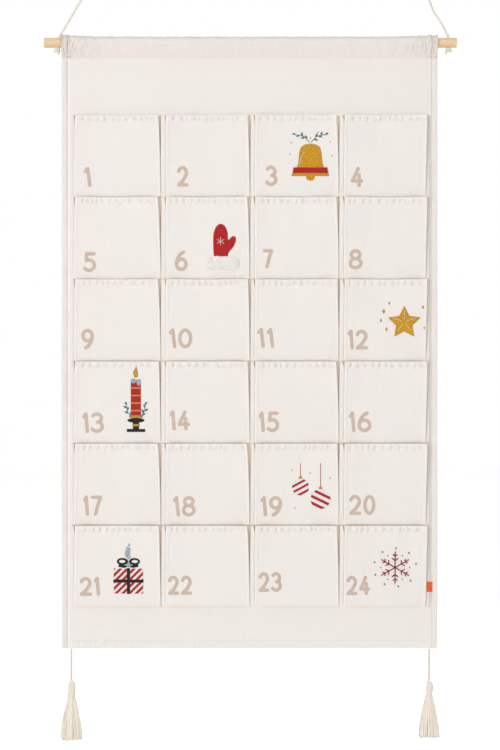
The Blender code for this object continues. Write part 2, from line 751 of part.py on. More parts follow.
def add_binding(side, top, neck_bottom, parent):
    """Spin the ribbed winding of thread that ties the tassel's neck."""
    inner = TASSEL_NECK_RADIUS + AIR
    low = neck_bottom + AIR
    height = TASSEL_NECK_HEIGHT - 2 * AIR
    profile = [(inner, low + height), (inner, low)]
    ridge = height / BINDING_RIDGES
    for place in range(BINDING_RIDGES):
        base = low + ridge * place
        for up_share, out_share in BINDING_RIDGE_SHARES:
            profile.append((inner + BINDING_WALL * out_share, base + ridge * up_share))
    bm = bmesh.new()
    ring = [bm.verts.new((top.x + radius, top.y, z)) for radius, z in profile]
    edges = [bm.edges.new((a, b)) for a, b in zip(ring, ring[1:] + ring[:1])]
    bmesh.ops.spin(
        bm, geom=ring + edges, cent=(top.x, top.y, 0.0), axis=(0.0, 0.0, 1.0),
        angle=math.tau, steps=BINDING_SIDES, use_merge=True)
    name = "tassel_binding_" + side
    add_object(name, finish_mesh(bm, name, CLOTH_SMOOTH_DEGREES), THREAD_LOOK, parent)


def add_tassel_set(side, x, skirt, parent):
    """Add one tassel with its cord, each under a pivot where it bends."""
    exit_place = Vector((x, HALF_CANVAS, CLOTH_BOTTOM - AIR - TASSEL_CORD_RADIUS))
    lower = exit_place - Vector((0.0, 0.0, TASSEL_CORD_LENGTH - 2 * TASSEL_CORD_RADIUS))
    cord_pivot = add_pivot("tassel_cord_pivot_" + side, exit_place, parent)
    cap = Vector((0.0, 0.0, TASSEL_CORD_RADIUS))
    points = [exit_place + cap, exit_place + cap * CORD_END_REACH_SHARE]
    points += smooth_points((exit_place, (exit_place + lower) / 2, lower), TASSEL_CORD_STEP)
    points += [lower - cap * CORD_END_REACH_SHARE, lower - cap]
    add_tube(
        "tassel_cord_" + side, points, TASSEL_CORD_RADIUS, CORD_LOOK, CORD_END_SHARES, cord_pivot)
    tassel_pivot = add_pivot("tassel_pivot_" + side, lower, cord_pivot)
    add_tassel(side, lower - cap - Vector((0.0, 0.0, AIR)), skirt, tassel_pivot)


def main():
    """Build the calendar."""
    clear_scene()
    add_rod()
    add_hanging_cord("left", LEFT_ROUTE, LEFT_TAILS)
    add_hanging_cord("right", RIGHT_ROUTE, RIGHT_TAILS)
    banner_pivot = add_pivot("banner_pivot", Vector((0.0, 0.0, ROD_Z)))
    add_backing(banner_pivot)
    for row in range(ROWS):
        add_pocket_row(row, banner_pivot)
    add_label(banner_pivot)
    add_bell(banner_pivot)
    add_mitten(banner_pivot)
    add_star(banner_pivot)
    add_tassel_set("left", TASSEL_CORD_LEFT, TASSEL_SKIRT_LEFT, banner_pivot)
    add_tassel_set("right", TASSEL_CORD_RIGHT, TASSEL_SKIRT_RIGHT, banner_pivot)


main()
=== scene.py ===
"""Looks of a canvas advent calendar that hangs from a wooden rod by its cord.

Metres, +Z up, front towards -Y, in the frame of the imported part. Cloth is laid out flat on a
grid first, then folded into its pleats, and everything sewn on it lies on the folded cloth.
"""

import logging
import random
from dataclasses import dataclass, field
from enum import Enum
from math import acos, atan2, ceil, cos, exp, hypot, pi, radians, sin, sqrt, tau
from typing import Callable, Iterable, Sequence

import bmesh
import bpy
import numpy as np
from bmesh.types import BMEdge, BMesh, BMFace, BMVert
from bpy.types import Material, Mesh, NodeSocket, Object
from mathutils import Matrix, Vector


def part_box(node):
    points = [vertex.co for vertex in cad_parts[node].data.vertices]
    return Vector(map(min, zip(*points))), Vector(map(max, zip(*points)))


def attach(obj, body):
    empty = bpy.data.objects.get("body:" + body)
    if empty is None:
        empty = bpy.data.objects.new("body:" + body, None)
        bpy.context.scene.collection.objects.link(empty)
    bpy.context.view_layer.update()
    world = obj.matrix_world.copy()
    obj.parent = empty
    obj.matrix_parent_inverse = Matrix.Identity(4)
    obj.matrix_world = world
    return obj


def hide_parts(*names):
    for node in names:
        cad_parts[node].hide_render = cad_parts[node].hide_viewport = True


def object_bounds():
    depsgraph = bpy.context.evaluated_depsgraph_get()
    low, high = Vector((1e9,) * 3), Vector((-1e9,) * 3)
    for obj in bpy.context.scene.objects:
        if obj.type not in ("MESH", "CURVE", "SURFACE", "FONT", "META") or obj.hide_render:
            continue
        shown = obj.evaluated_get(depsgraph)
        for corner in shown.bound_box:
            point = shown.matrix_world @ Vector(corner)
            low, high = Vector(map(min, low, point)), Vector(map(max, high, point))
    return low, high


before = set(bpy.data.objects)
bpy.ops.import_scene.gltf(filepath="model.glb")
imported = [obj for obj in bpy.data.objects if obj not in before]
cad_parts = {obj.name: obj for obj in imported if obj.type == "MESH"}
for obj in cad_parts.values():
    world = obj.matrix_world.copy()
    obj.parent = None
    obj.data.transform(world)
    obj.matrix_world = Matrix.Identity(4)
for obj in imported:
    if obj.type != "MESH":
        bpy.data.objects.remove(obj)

LOG = logging.getLogger("calendar")
CAD_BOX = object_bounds()
ROWS = 6
COLUMNS = 4

Array = np.ndarray
Colour = tuple[float, float, float]
Spot = Sequence[float]
Field = Callable[[Array], Array]
Drape = Callable[[Array, Array], Array]

BLACK: Colour = (0.0, 0.0, 0.0)
WHITE: Colour = (1.0, 1.0, 1.0)

# Routes of the two strands of hanging cord, from under the rod up to the loop knot
LEFT_ROUTE = (
    (-0.2799, 0.0, -0.1070), (-0.2797, 0.0, -0.1000), (-0.2790, 0.0, -0.0940),
    (-0.2783, 0.0, -0.0918), (-0.2762, 0.0, -0.0888), (-0.2735, 0.0, -0.0850),
    (-0.2616, 0.0, -0.0646), (-0.2456, 0.0, -0.0372), (-0.2379, 0.0, -0.0240),
)
RIGHT_ROUTE = (
    (0.2905, 0.0, -0.1070), (0.2904, 0.0, -0.1000), (0.2901, 0.0, -0.0935),
    (0.2893, 0.0, -0.0895), (0.2850, 0.0, -0.0810), (0.2789, 0.0, -0.0698),
    (0.2685, 0.0, -0.0536), (0.2622, 0.0, -0.0372), (0.2572, 0.0, -0.0240),
)


class Side(Enum):
    """The two ends of the rod, and the tassels under them."""

    LEFT = "left"
    RIGHT = "right"


class Body(Enum):
    """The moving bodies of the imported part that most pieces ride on."""

    ROD = "rod_and_cord"
    BANNER = "banner"


class Slot(Enum):
    """The record's material slots."""

    CANVAS = "canvas"
    CORD = "cord"
    THREAD = "tassel_thread"
    TAPE = "label_tape"
    MUSTARD = "mustard_felt"
    RED = "red_felt"
    FLEECE = "white_fleece"


# Every finish's material by its name, once dressed
FINISHES: dict[str, Material] = {}


@dataclass(frozen=True)
class PhotoView:
    """The photograph's camera: how its pixels lie over the calendar."""

    pixel: float = 0.00146
    wide: int = 500
    high: int = 750
    distance: float = 3.0
    across: float = 0.0007
    up: float = -0.585
    sensor: float = 36.0

    def place(self, column: float, row: float, depth: float) -> Vector:
        """Return the point that a pixel shows, at a depth in front of the backing."""
        scale = self.pixel * (self.distance - depth) / self.distance
        x = self.across + (column - self.wide / 2) * scale
        z = self.up - (row - self.high / 2) * scale
        return Vector((x, -depth, z))

    def make_camera(self) -> None:
        """Set up the camera at the photograph's place."""
        data = bpy.data.cameras.new("camera")
        data.sensor_width = self.sensor
        data.lens = self.sensor * self.distance / (self.high * self.pixel)
        camera = bpy.data.objects.new("camera", data)
        camera.location = (self.across, -self.distance, self.up)
        camera.rotation_euler = (pi / 2, 0.0, 0.0)
        bpy.context.scene.collection.objects.link(camera)
        bpy.context.scene.camera = camera


VIEW = PhotoView()


class Wire:
    """A socket of a material's nodes, on which shader maths is written as expressions."""

    def __init__(self, recipe: "Recipe", socket: NodeSocket) -> None:
        """Keep the recipe and the socket that feeds it."""
        self.recipe = recipe
        self.socket = socket

    def math(self, operation: str, other: "float | Wire" = 0.0) -> "Wire":
        """Return the result of one Math node with a second value."""
        return self.recipe.node("ShaderNodeMath", {"operation": operation}, {0: self, 1: other})

    def __add__(self, other: "float | Wire") -> "Wire":
        """Add."""
        return self.math("ADD", other)

    def __sub__(self, other: "float | Wire") -> "Wire":
        """Subtract."""
        return self.math("SUBTRACT", other)

    def __mul__(self, other: "float | Wire") -> "Wire":
        """Multiply."""
        return self.math("MULTIPLY", other)


class Recipe:
    """A material under construction."""

    def __init__(self, name: str, roughness: float, sheen: float = 0.0) -> None:
        """Start a material with its even roughness and edge sheen."""
        self.material = bpy.data.materials.new(name)
        self.material.use_nodes = True
        self.tree = self.material.node_tree
        self.shader = self.tree.nodes["Principled BSDF"]
        self.set("Roughness", roughness)
        self.set("Sheen Weight", sheen)
        self.set("Sheen Roughness", 0.5)
        self.set("Specular IOR Level", 0.25)

    def set(self, socket: str, value: object) -> None:
        """Give one of the shader's sockets a value or a wire."""
        self.feed(self.shader.inputs[socket], value)

    def node(
        self, kind: str, settings: dict[str, object] | None = None,
        inputs: dict[object, object] | None = None, output: int | str = 0,
    ) -> Wire:
        """Add one node.

        Args:
            kind: the node's type.
            settings: its settings.
            inputs: values or wires for its sockets, by name or place.
            output: the socket that is handed back.

        Returns:
            The chosen output.
        """
        made = self.tree.nodes.new(kind)
        for key, value in (settings or {}).items():
            setattr(made, key, value)
        for key, value in (inputs or {}).items():
            self.feed(made.inputs[key], value)
        return Wire(self, made.outputs[output])

    def feed(self, socket: NodeSocket, value: object) -> None:
        """Link a wire to a socket, or set its value."""
        if isinstance(value, Wire):
            self.tree.links.new(value.socket, socket)
        else:
            socket.default_value = value

    def object_place(self) -> Wire:
        """Return the point on the piece in its own coordinates."""
        return self.node("ShaderNodeTexCoord", output="Object")

    def flat_place(self) -> Wire:
        """Return the place on the cloth as it lay flat, in metres."""
        return self.node("ShaderNodeUVMap", {"uv_map": "flat"})

    def axes(self, place: Wire) -> list[Wire]:
        """Return the three coordinates of a place."""
        split = self.node("ShaderNodeSeparateXYZ", None, {0: place}).socket.node
        return [Wire(self, output) for output in split.outputs]

    def noise(self, place: Wire, scale: float | Spot, detail: float = 2.0) -> Wire:
        """Return smooth noise about 0.5, of one scale or of one for each axis."""
        if not isinstance(scale, float):
            stretch = {"operation": "MULTIPLY"}
            place = self.node("ShaderNodeVectorMath", stretch, {0: place, 1: scale})
            scale = 1.0
        inputs = {"Vector": place, "Scale": scale, "Detail": detail}
        return self.node("ShaderNodeTexNoise", None, inputs)

    def ramp(self, factor: Wire, *stops: tuple[float, Colour]) -> Wire:
        """Return a colour read from a ramp with the given stops."""
        colour = self.node("ShaderNodeValToRGB", None, {"Fac": factor})
        elements = colour.socket.node.color_ramp.elements
        while len(elements) < len(stops):
            elements.new(1.0)
        for element, (place, stop) in zip(elements, stops):
            element.position = place
            element.color = (*stop, 1.0)
        return colour

    def blend(
        self, factor: float | Wire, first: object, second: object, kind: str = "MIX",
    ) -> Wire:
        """Return a mix of two colours."""
        settings = {"data_type": "RGBA", "blend_type": kind}
        return self.node("ShaderNodeMix", settings, {0: factor, 6: first, 7: second}, 2)

    def finish(self, colour: object, height: Wire, depth: float) -> Material:
        """Feed the shader a colour, and a relief of some depth from a height of 0 to 1."""
        self.set("Base Color", colour)
        relief = {"Strength": 1.0, "Distance": depth, "Height": height}
        self.set("Normal", self.node("ShaderNodeBump", None, relief))
        return self.material


def rgba(colour: Colour, share: float = 1.0) -> tuple[float, float, float, float]:
    """Return a colour, made darker or lighter by a share, with full alpha."""
    return (colour[0] * share, colour[1] * share, colour[2] * share, 1.0)


@dataclass(frozen=True)
class CanvasFinish:
    """Off-white plain-woven cotton canvas."""

    name: str = "canvas"
    colour: Colour = (0.856, 0.818, 0.778)
    warm: Colour = (0.846, 0.798, 0.752)
    casing: Colour = (0.812, 0.732, 0.668)
    casing_from: float = 0.8620
    # Painted shade for the seam lines, the creases and the hem puckers
    shaded: Colour = (0.640, 0.560, 0.490)
    # Painted warm shade inside the pleats and along the strips' bottom edges
    inner: Colour = (0.930, 0.815, 0.680)
    # Painted highlight on folded edges and hem tops
    bright: Colour = (0.935, 0.905, 0.875)
    upright_seams: tuple[float, ...] = ()
    level_seams: tuple[float, ...] = ()
    hem_bands: tuple[tuple[float, float], ...] = ()
    seam_half: float = 0.0008
    thread: float = 0.00085
    crumple_run: float = 0.110
    crumple_depth: float = 95.0

    def dress(self) -> Material:
        """Return the canvas material."""
        recipe = Recipe(self.name, roughness=0.92, sheen=0.15)
        flat = recipe.flat_place()
        across, along, _ = recipe.axes(flat)
        over, under = [(way * (pi / self.thread)).math("SINE") for way in (across, along)]
        warp = recipe.noise(flat, (1100.0, 30.0, 1.0), 1.0)
        weft = recipe.noise(flat, (30.0, 1100.0, 1.0), 1.0)
        slub = warp * 0.5 + weft * 0.5
        weave = over * under * 0.5 + slub * 0.9
        patches = recipe.noise(recipe.object_place(), 7.0)
        folded_over = along.math("GREATER_THAN", self.casing_from)
        layers = [(folded_over, 0.50, self.casing)]
        for start, end in self.hem_bands:
            band = across.math("GREATER_THAN", start) * across.math("LESS_THAN", end)
            layers.append((band, 0.32, self.casing))
        # Painted shade along the stitched seam lines: strong at the side hems, faint at the bottom
        # hem
        seams = [(across - seam, 0.85) for seam in self.upright_seams]
        for away, share in seams + [(along - seam, 0.16) for seam in self.level_seams]:
            sewn = away.math("ABSOLUTE").math("LESS_THAN", self.seam_half)
            layers.append((sewn, share, self.shaded))
        # Painted warm shade in the pleats, painted shade in creases and puckers, painted highlights
        # on folded edges
        for name, share, tint in (
            ("inside", 0.80, self.inner), ("crease", 0.45, self.shaded),
            ("pressed", 0.75, self.bright)):
            mark = recipe.node("ShaderNodeAttribute", {"attribute_name": name}, output="Fac")
            layers.append((mark, share, tint))
        tone = recipe.blend(patches, rgba(self.colour), rgba(self.warm))
        for where, share, tint in layers:
            tone = recipe.blend(where * share, tone, rgba(tint))
        fibres = recipe.ramp(slub, (0.35, (0.93, 0.925, 0.92)), (0.62, (1.03, 1.03, 1.03)))
        if self.upright_seams:
            weave = weave + self.crumples(recipe, across) * folded_over
        return recipe.finish(recipe.blend(0.25, tone, fibres, "MULTIPLY"), weave, 0.00008)

    def crumples(self, recipe: Recipe, across: Wire) -> Wire:
        """Return the fine creases in the casing's ends, which fade towards the middle."""
        width = sum(self.upright_seams)
        from_side = across.math("MINIMUM", across * -1.0 + width)
        fade = (from_side * -1.0 + self.crumple_run) * (1.0 / self.crumple_run)
        fade = fade.math("MAXIMUM", 0.0)
        cells = recipe.noise(recipe.flat_place(), (210.0, 62.0, 1.0), 1.5)
        return (cells - 0.5).math("ABSOLUTE") * fade * fade * self.crumple_depth


@dataclass(frozen=True)
class FeltFinish:
    """Pressed wool felt, fuzzy and slightly mottled."""

    name: str
    colour: Colour

    def dress(self) -> Material:
        """Return the felt material."""
        recipe = Recipe(self.name, roughness=0.95, sheen=0.35)
        place = recipe.object_place()
        hairs = recipe.noise(place, (2400.0, 600.0, 500.0), 3.0)
        relief = recipe.noise(place, 1500.0, 4.0) * 0.6 + hairs * 0.4
        mottle = recipe.ramp(recipe.noise(place, 620.0, 4.0), (0.34, BLACK), (0.66, WHITE))
        wear_and_shade = recipe.noise(place, 120.0)
        tone = recipe.blend(mottle, rgba(self.colour, 0.62), rgba(self.colour, 1.18))
        tone = recipe.blend(wear_and_shade * 0.4, tone, rgba(self.colour, 0.85))
        return recipe.finish(
            recipe.blend(relief * 0.25, tone, rgba(self.colour, 1.35)), relief, 0.00030)


@dataclass(frozen=True)
class ThreadFinish:
    """Cotton or silk thread, lying side by side as satin stitch where it fills a shape."""

    name: str
    colour: Colour
    strand: float = 0.00045
    angle: float = 0.0
    gloss: float = 0.55

    def dress(self) -> Material:
        """Return the thread material."""
        recipe = Recipe(self.name, roughness=self.gloss, sheen=0.2)
        place = recipe.object_place()
        x, _, z = recipe.axes(place)
        crossing = x * cos(self.angle) + z * sin(self.angle)
        wobble = recipe.noise(place, 420.0) * 5.0
        lines = (crossing * (tau / self.strand) + wobble).math("SINE")
        strands = recipe.noise(place, 1500.0)
        colour = recipe.blend(strands, rgba(self.colour, 0.80), rgba(self.colour, 1.18))
        return recipe.finish(colour, lines * 0.5 + strands * 0.8, 0.00012)


@dataclass(frozen=True)
class YarnFinish:
    """Undyed cotton yarn of the cord and the tassels."""

    name: str
    colour: Colour
    fibre: float = 2600.0
    streaks: float = 0.0

    def dress(self) -> Material:
        """Return the yarn material."""
        recipe = Recipe(self.name, roughness=0.85, sheen=0.25)
        place = recipe.object_place()
        fibres = recipe.noise(place, (self.fibre, self.fibre, self.fibre / 6), 3.0)
        tone = fibres * 0.6 + recipe.noise(place, 90.0) * 0.4
        colour = recipe.blend(tone, rgba(self.colour, 0.86), rgba(self.colour, 1.06))
        # Random streaks along the threads in a darker, warmer tone: painted shade between the
        # strands
        if self.streaks:
            threads = recipe.noise(place, (950.0, 950.0, 22.0), 1.0)
            shade_streaks = recipe.ramp(threads, (0.46, BLACK), (0.62, WHITE))
            red, green, blue = self.colour
            wear_and_shade = (red * 0.84, green * 0.78, blue * 0.70, 1.0)
            colour = recipe.blend(shade_streaks * self.streaks, colour, wear_and_shade)
        return recipe.finish(colour, fibres, 0.00005)


@dataclass(frozen=True)
class WoodFinish:
    """Sanded pale softwood with its grain along the rod."""

    name: str = "rod_wood"
    pale: Colour = (0.830, 0.620, 0.385)
    dark: Colour = (0.690, 0.440, 0.215)
    pith: tuple[float, float] = (0.004, -0.109)

    def dress(self) -> Material:
        """Return the wood material."""
        recipe = Recipe(self.name, roughness=0.52)
        place = recipe.object_place()
        drift = recipe.noise(place, (6.0, 160.0, 160.0), 3.0)
        _, y, z = recipe.axes(place)
        away = (y - self.pith[0]) * (y - self.pith[0]) + (z - self.pith[1]) * (z - self.pith[1])
        rings = (away.math("SQRT") * 5200.0 + drift * 7.0).math("SINE") * 0.5 + 0.5
        pores = recipe.noise(place, (60.0, 2600.0, 2600.0))
        shade = rings * 0.55 + pores * 0.45
        colour = recipe.ramp(shade, (0.2, self.pale), (0.55, self.pale), (0.95, self.dark))
        return recipe.finish(colour, pores * -0.6 + rings * 0.2, 0.00008)


def dress_finishes() -> None:
    """Make every finish's material."""
    for finish in (
        CanvasFinish(),
        CanvasFinish(
            "backing_canvas", upright_seams=Backing.upright_seams(),
            level_seams=(Backing.bottom_hem,), hem_bands=Backing.hem_bands()),
        ThreadFinish("taupe_thread", (0.650, 0.515, 0.420), 0.0006, 0.4, 0.8),
        YarnFinish("seam_thread", (0.800, 0.740, 0.680)),
        YarnFinish("cord", (0.850, 0.770, 0.650)),
        YarnFinish("tassel_string", (0.730, 0.655, 0.570)),
        YarnFinish("tassel_thread", (0.940, 0.875, 0.795), streaks=0.7),
        WoodFinish(),
        ThreadFinish("label_tape", (0.930, 0.125, 0.038), 0.0005, pi / 2, 0.6),
        FeltFinish("mustard_felt", (0.600, 0.305, 0.016)),
        FeltFinish("red_felt", (0.440, 0.016, 0.016)),
        YarnFinish("white_fleece", (0.935, 0.910, 0.870), 900.0),
        ThreadFinish("red_thread", (0.460, 0.016, 0.017), angle=0.5),
        ThreadFinish("white_thread", (0.860, 0.850, 0.830), angle=-0.5),
        ThreadFinish("gold_thread", (0.560, 0.300, 0.045), angle=0.8),
        ThreadFinish("teal_thread", (0.100, 0.215, 0.250), angle=-0.8),
        ThreadFinish("black_thread", (0.008, 0.007, 0.008), angle=0.2),
        ThreadFinish("blue_thread", (0.330, 0.450, 0.520), angle=1.2),
    ):
        FINISHES[finish.name] = finish.dress()


def sort_faces(bm: BMesh) -> None:
    """Put the faces in the order of their corners; extruding leaves them in no fixed order."""
    bm.verts.index_update()
    count = len(bm.verts)

    def rank(face: BMFace) -> int:
        """Return a number that grows with the face's three lowest corners."""
        low, middle, high = sorted(vert.index for vert in face.verts)[:3]
        return (low * count + middle) * count + high

    bm.faces.sort(key=rank)


def smooth_mesh(bm: BMesh, name: str, outward: bool = True) -> Mesh:
    """Turn a bmesh into a smooth shaded mesh and free it."""
    if outward:
        bmesh.ops.recalc_face_normals(bm, faces=bm.faces)
        sort_faces(bm)
    mesh = bpy.data.meshes.new(name)
    bm.to_mesh(mesh)
    bm.free()
    mesh.shade_smooth()
    return mesh


def add_piece(
    name: str, shape: Mesh | BMesh, finish: str, node: str = "", body: str = Body.BANNER.value,
) -> Object:
    """Link a finished piece, dress it and let it ride on its body.

    Args:
        name: the piece's name.
        shape: its mesh, or a bmesh that becomes one.
        finish: the name of its finish.
        node: the CAD node that it stands for, if any.
        body: the body that it moves with.

    Returns:
        The new object.
    """
    mesh = smooth_mesh(shape, name) if isinstance(shape, BMesh) else shape
    piece = bpy.data.objects.new(name, mesh)
    bpy.context.scene.collection.objects.link(piece)
    mesh.materials.append(FINISHES[finish])
    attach(piece, body)
    if node:
        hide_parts(node)
    LOG.info("made %s", name)
    return piece


def smooth_points(points: Iterable[Spot], spacing: float) -> list[Vector]:
    """Read points at about one spacing from a smooth curve through the given points."""
    knots = [Vector(point) for point in points]
    ends = [2 * knots[0] - knots[1]] + knots + [2 * knots[-1] - knots[-2]]
    result = []
    for place in range(1, len(ends) - 2):
        a, b, c, d = ends[place - 1:place + 3]
        steps = max(1, round((c - b).length / spacing))
        for step in range(steps):
            t = step / steps
            cubic = -a + 3 * b - 3 * c + d
            square = 2 * a - 5 * b + 4 * c - d
            result.append(b + ((c - a) * t + square * t ** 2 + cubic * t ** 3) / 2)
    return result + [knots[-1]]


def route_length(points: Sequence[Vector]) -> float:
    """Return the length of a line through points."""
    return sum((after - before).length for before, after in zip(points, points[1:]))


@dataclass(frozen=True)
class Strand:
    """The section of a thread or cord: its plies, how they twist, and its size."""

    radius: float
    sides: int = 8
    plies: int = 0
    ply_depth: float = 0.22
    twist: float = 0.0

    def ring(self, bm: BMesh) -> list[BMVert]:
        """Add one closed ring of the section about the origin."""
        verts = bmesh.ops.create_circle(bm, cap_ends=True, radius=1.0, segments=self.sides)["verts"]
        for vert in verts:
            angle = atan2(vert.co.y, vert.co.x)
            reach = self.radius
            if self.plies:
                reach *= 1.0 - self.ply_depth * (0.5 - abs(cos(self.plies * angle / 2)))
            vert.co = Vector((cos(angle) * reach, sin(angle) * reach, 0.0))
        return verts

    def sweep(self, path: Sequence[Vector], shares: Sequence[float] | None = None) -> BMesh:
        """Draw the section along a path.

        Args:
            path: the points that it follows.
            shares: the radius share at each point, or None for an even cord.

        Returns:
            A closed tube.
        """
        bm = bmesh.new()
        verts = self.ring(bm)
        edges = list({edge for vert in verts for edge in vert.link_edges})
        frames = self.frames(path, shares)
        bmesh.ops.transform(bm, matrix=frames[0], verts=verts)
        for before, after in zip(frames, frames[1:]):
            grown = bmesh.ops.extrude_edge_only(bm, edges=edges)["geom"]
            verts = [item for item in grown if isinstance(item, BMVert)]
            edges = [item for item in grown if isinstance(item, BMEdge) and item.is_boundary]
            bmesh.ops.transform(bm, matrix=after @ before.inverted(), verts=verts)
        bmesh.ops.edgeloop_fill(bm, edges=edges)
        bmesh.ops.recalc_face_normals(bm, faces=bm.faces)
        return bm

    def frames(self, path: Sequence[Vector], shares: Sequence[float] | None) -> list[Matrix]:
        """Return the matrix of each ring, turned along the path with its twist."""
        result = []
        last = len(path) - 1
        across = None
        travelled = 0.0
        for place, point in enumerate(path):
            along = (path[min(place + 1, last)] - path[max(place - 1, 0)]).normalized()
            if across is None:
                across = along.orthogonal().normalized()
            across = (across - along * across.dot(along)).normalized()
            if place:
                travelled += (point - path[place - 1]).length
            turn = Matrix((across, along.cross(across), along)).transposed().to_4x4()
            spin = Matrix.Rotation(self.twist * travelled, 4, "Z")
            share = shares[place] if shares else 1.0
            result.append(Matrix.Translation(point) @ turn @ spin @ Matrix.Scale(share, 4))
        return result

    def rounded(self, path: Sequence[Vector]) -> BMesh:
        """Draw the section along a path and round off both its ends."""
        shares = [1.0] * len(path)
        for place, share in enumerate((0.45, 0.85)):
            shares[place] = shares[len(path) - 1 - place] = share
        return self.sweep(path, shares)


def join(parts: Iterable[BMesh]) -> BMesh:
    """Gather several bmeshes in one and free them."""
    whole = bmesh.new()
    scratch = bpy.data.meshes.new("scratch")
    for part in parts:
        part.to_mesh(scratch)
        part.free()
        whole.from_mesh(scratch)
    bpy.data.meshes.remove(scratch)
    return whole


def add_bead(bm: BMesh, middle: Spot, out: float, run: Spot, length: float, radius: float) -> None:
    """Add one stitch, a long bead of thread on the cloth.

    Args:
        bm: what it is added to.
        middle: its middle, across and up.
        out: how far forward it lies.
        run: the way in which it lies, across and up.
        length: its length.
        radius: half its thickness.
    """
    turn = Matrix.Rotation(-atan2(run[1], run[0]), 4, "Y")
    shape = Matrix.Diagonal((length / 2, radius, radius, 1.0))
    matrix = Matrix.Translation((middle[0], -out, middle[1])) @ turn @ shape
    bmesh.ops.create_icosphere(bm, subdivisions=1, radius=1.0, matrix=matrix)


class Ripples:
    """Soft unevenness of cloth: waves of one size that run in all directions."""

    def __init__(self, seed: int, length: float, count: int = 7) -> None:
        """Choose a number of waves of a usual length."""
        chance = random.Random(seed)
        self.waves = []
        for _ in range(count):
            angle = chance.uniform(0.0, tau)
            wave = tau / (length * chance.uniform(0.7, 1.5))
            self.waves.append((wave * cos(angle), wave * sin(angle), chance.uniform(0.0, tau)))

    def height(self, x: Array, z: Array) -> Array:
        """Return the unevenness at places on the cloth, from about -1 to 1."""
        total = sum(np.sin(a * x + b * z + phase) for a, b, phase in self.waves)
        return total / sqrt(len(self.waves) * 2.0)


def step_up(value: Array, start: float, end: float) -> Array:
    """Return 0 before start, 1 after end and a smooth rise between them."""
    t = np.clip((value - start) / (end - start), 0.0, 1.0)
    return t * t * (3.0 - 2.0 * t)


def ridge(value: Array, middle: float, width: float) -> Array:
    """Return a smooth bump of height 1 about a middle."""
    return np.exp(-((value - middle) / width) ** 2)


class Puckers:
    """Small dents where a line of stitching draws a hem together."""

    def __init__(
        self, seed: int, low: float, high: float, pitch: float, width: float, lean: float = 0.10,
    ) -> None:
        """Choose the dents' places between two ends, and how they lean."""
        chance = random.Random(seed)
        self.width = width
        self.dents = []
        place = low + pitch * chance.uniform(0.3, 0.8)
        while place < high:
            slant = chance.uniform(-lean, lean)
            self.dents.append((place, chance.uniform(0.45, 1.0), slant))
            place += pitch * chance.uniform(0.7, 1.3)

    def height(self, along: Array, away: Array) -> Array:
        """Return how deep the dents are, from 0 to 1, along the hem and away from it."""
        total = np.zeros_like(along)
        for place, depth, lean in self.dents:
            total = np.maximum(total, depth * ridge(along - lean * away, place, self.width))
        return total


def vertex_places(mesh: Mesh) -> Array:
    """Return the places of a mesh's vertices."""
    co = np.zeros(len(mesh.vertices) * 3)
    mesh.vertices.foreach_get("co", co)
    return co.reshape(-1, 3)


def cloth_mesh(
    name: str, columns: int, rows: int, place: Callable[[Array, Array], tuple[Array, Array]]
) -> Mesh:
    """Lay cloth out as a flat grid and fold it into place.

    Args:
        name: the mesh's name.
        columns: the number of steps across.
        rows: the number of steps up.
        place: gives the folded places and the flat places of the grid's crossings, from the
            number of their column and row.

    Returns:
        The folded mesh, with a UV map that holds the flat places.
    """
    bm = bmesh.new()
    bmesh.ops.create_grid(bm, x_segments=columns, y_segments=rows, size=1.0)
    mesh = smooth_mesh(bm, name, outward=False)
    x, y, _ = vertex_places(mesh).T
    column = np.rint((x + 1.0) / 2.0 * columns).astype(int)
    row = np.rint((y + 1.0) / 2.0 * rows).astype(int)
    folded, flat = place(column, row)
    mesh.vertices.foreach_set("co", folded.astype(np.float32).ravel())
    corners = np.zeros(len(mesh.loops), int)
    mesh.loops.foreach_get("vertex_index", corners)
    layer = mesh.uv_layers.new(name="flat")
    layer.data.foreach_set("uv", flat[corners].astype(np.float32).ravel())
    mesh.update()
    return mesh


def add_marks(mesh: Mesh, name: str, values: Array) -> None:
    """Store one value for each vertex, from 0 to 1, for a finish to read."""
    layer = mesh.attributes.new(name, "FLOAT", "POINT")
    layer.data.foreach_set("value", np.clip(values, 0.0, 1.0).astype(np.float32))


def add_thickness(piece: Object, thickness: float, offset: float, group: str = "") -> None:
    """Give a sheet its thickness.

    Args:
        piece: the sheet.
        thickness: its full thickness.
        offset: -1 for thickness behind the sheet, 0 for both sides.
        group: the vertex group that says the share of the thickness.
    """
    solid = piece.modifiers.new("thickness", "SOLIDIFY")
    solid.thickness = thickness
    solid.offset = offset
    solid.use_even_offset = False
    solid.vertex_group = group


def line_points(start: Spot, end: Spot, steps: int) -> Array:
    """Return points from start up to but not at the end."""
    share = np.arange(steps)[:, None] / steps
    return np.array(start) * (1.0 - share) + np.array(end) * share


def arc_points(centre: Spot, radius: float, start: float, turn: float, steps: int) -> Array:
    """Return points on an arc, up to but not at its end."""
    angle = start + turn * np.arange(steps) / steps
    return np.stack([centre[0] + radius * np.cos(angle), centre[1] + radius * np.sin(angle)], 1)


@dataclass(frozen=True)
class Cloth:
    """Sizes that the backing and the pocket strips share."""

    canvas: float = 0.0009
    air: float = 0.0003
    fold: float = 0.0013

    @property
    def first_layer(self) -> float:
        """Return the depth of a layer that lies on the backing."""
        return self.canvas + self.air

    @property
    def face_layer(self) -> float:
        """Return the depth of a pocket's face over its folded pleats."""
        return self.first_layer + 2 * self.fold


CLOTH = Cloth()


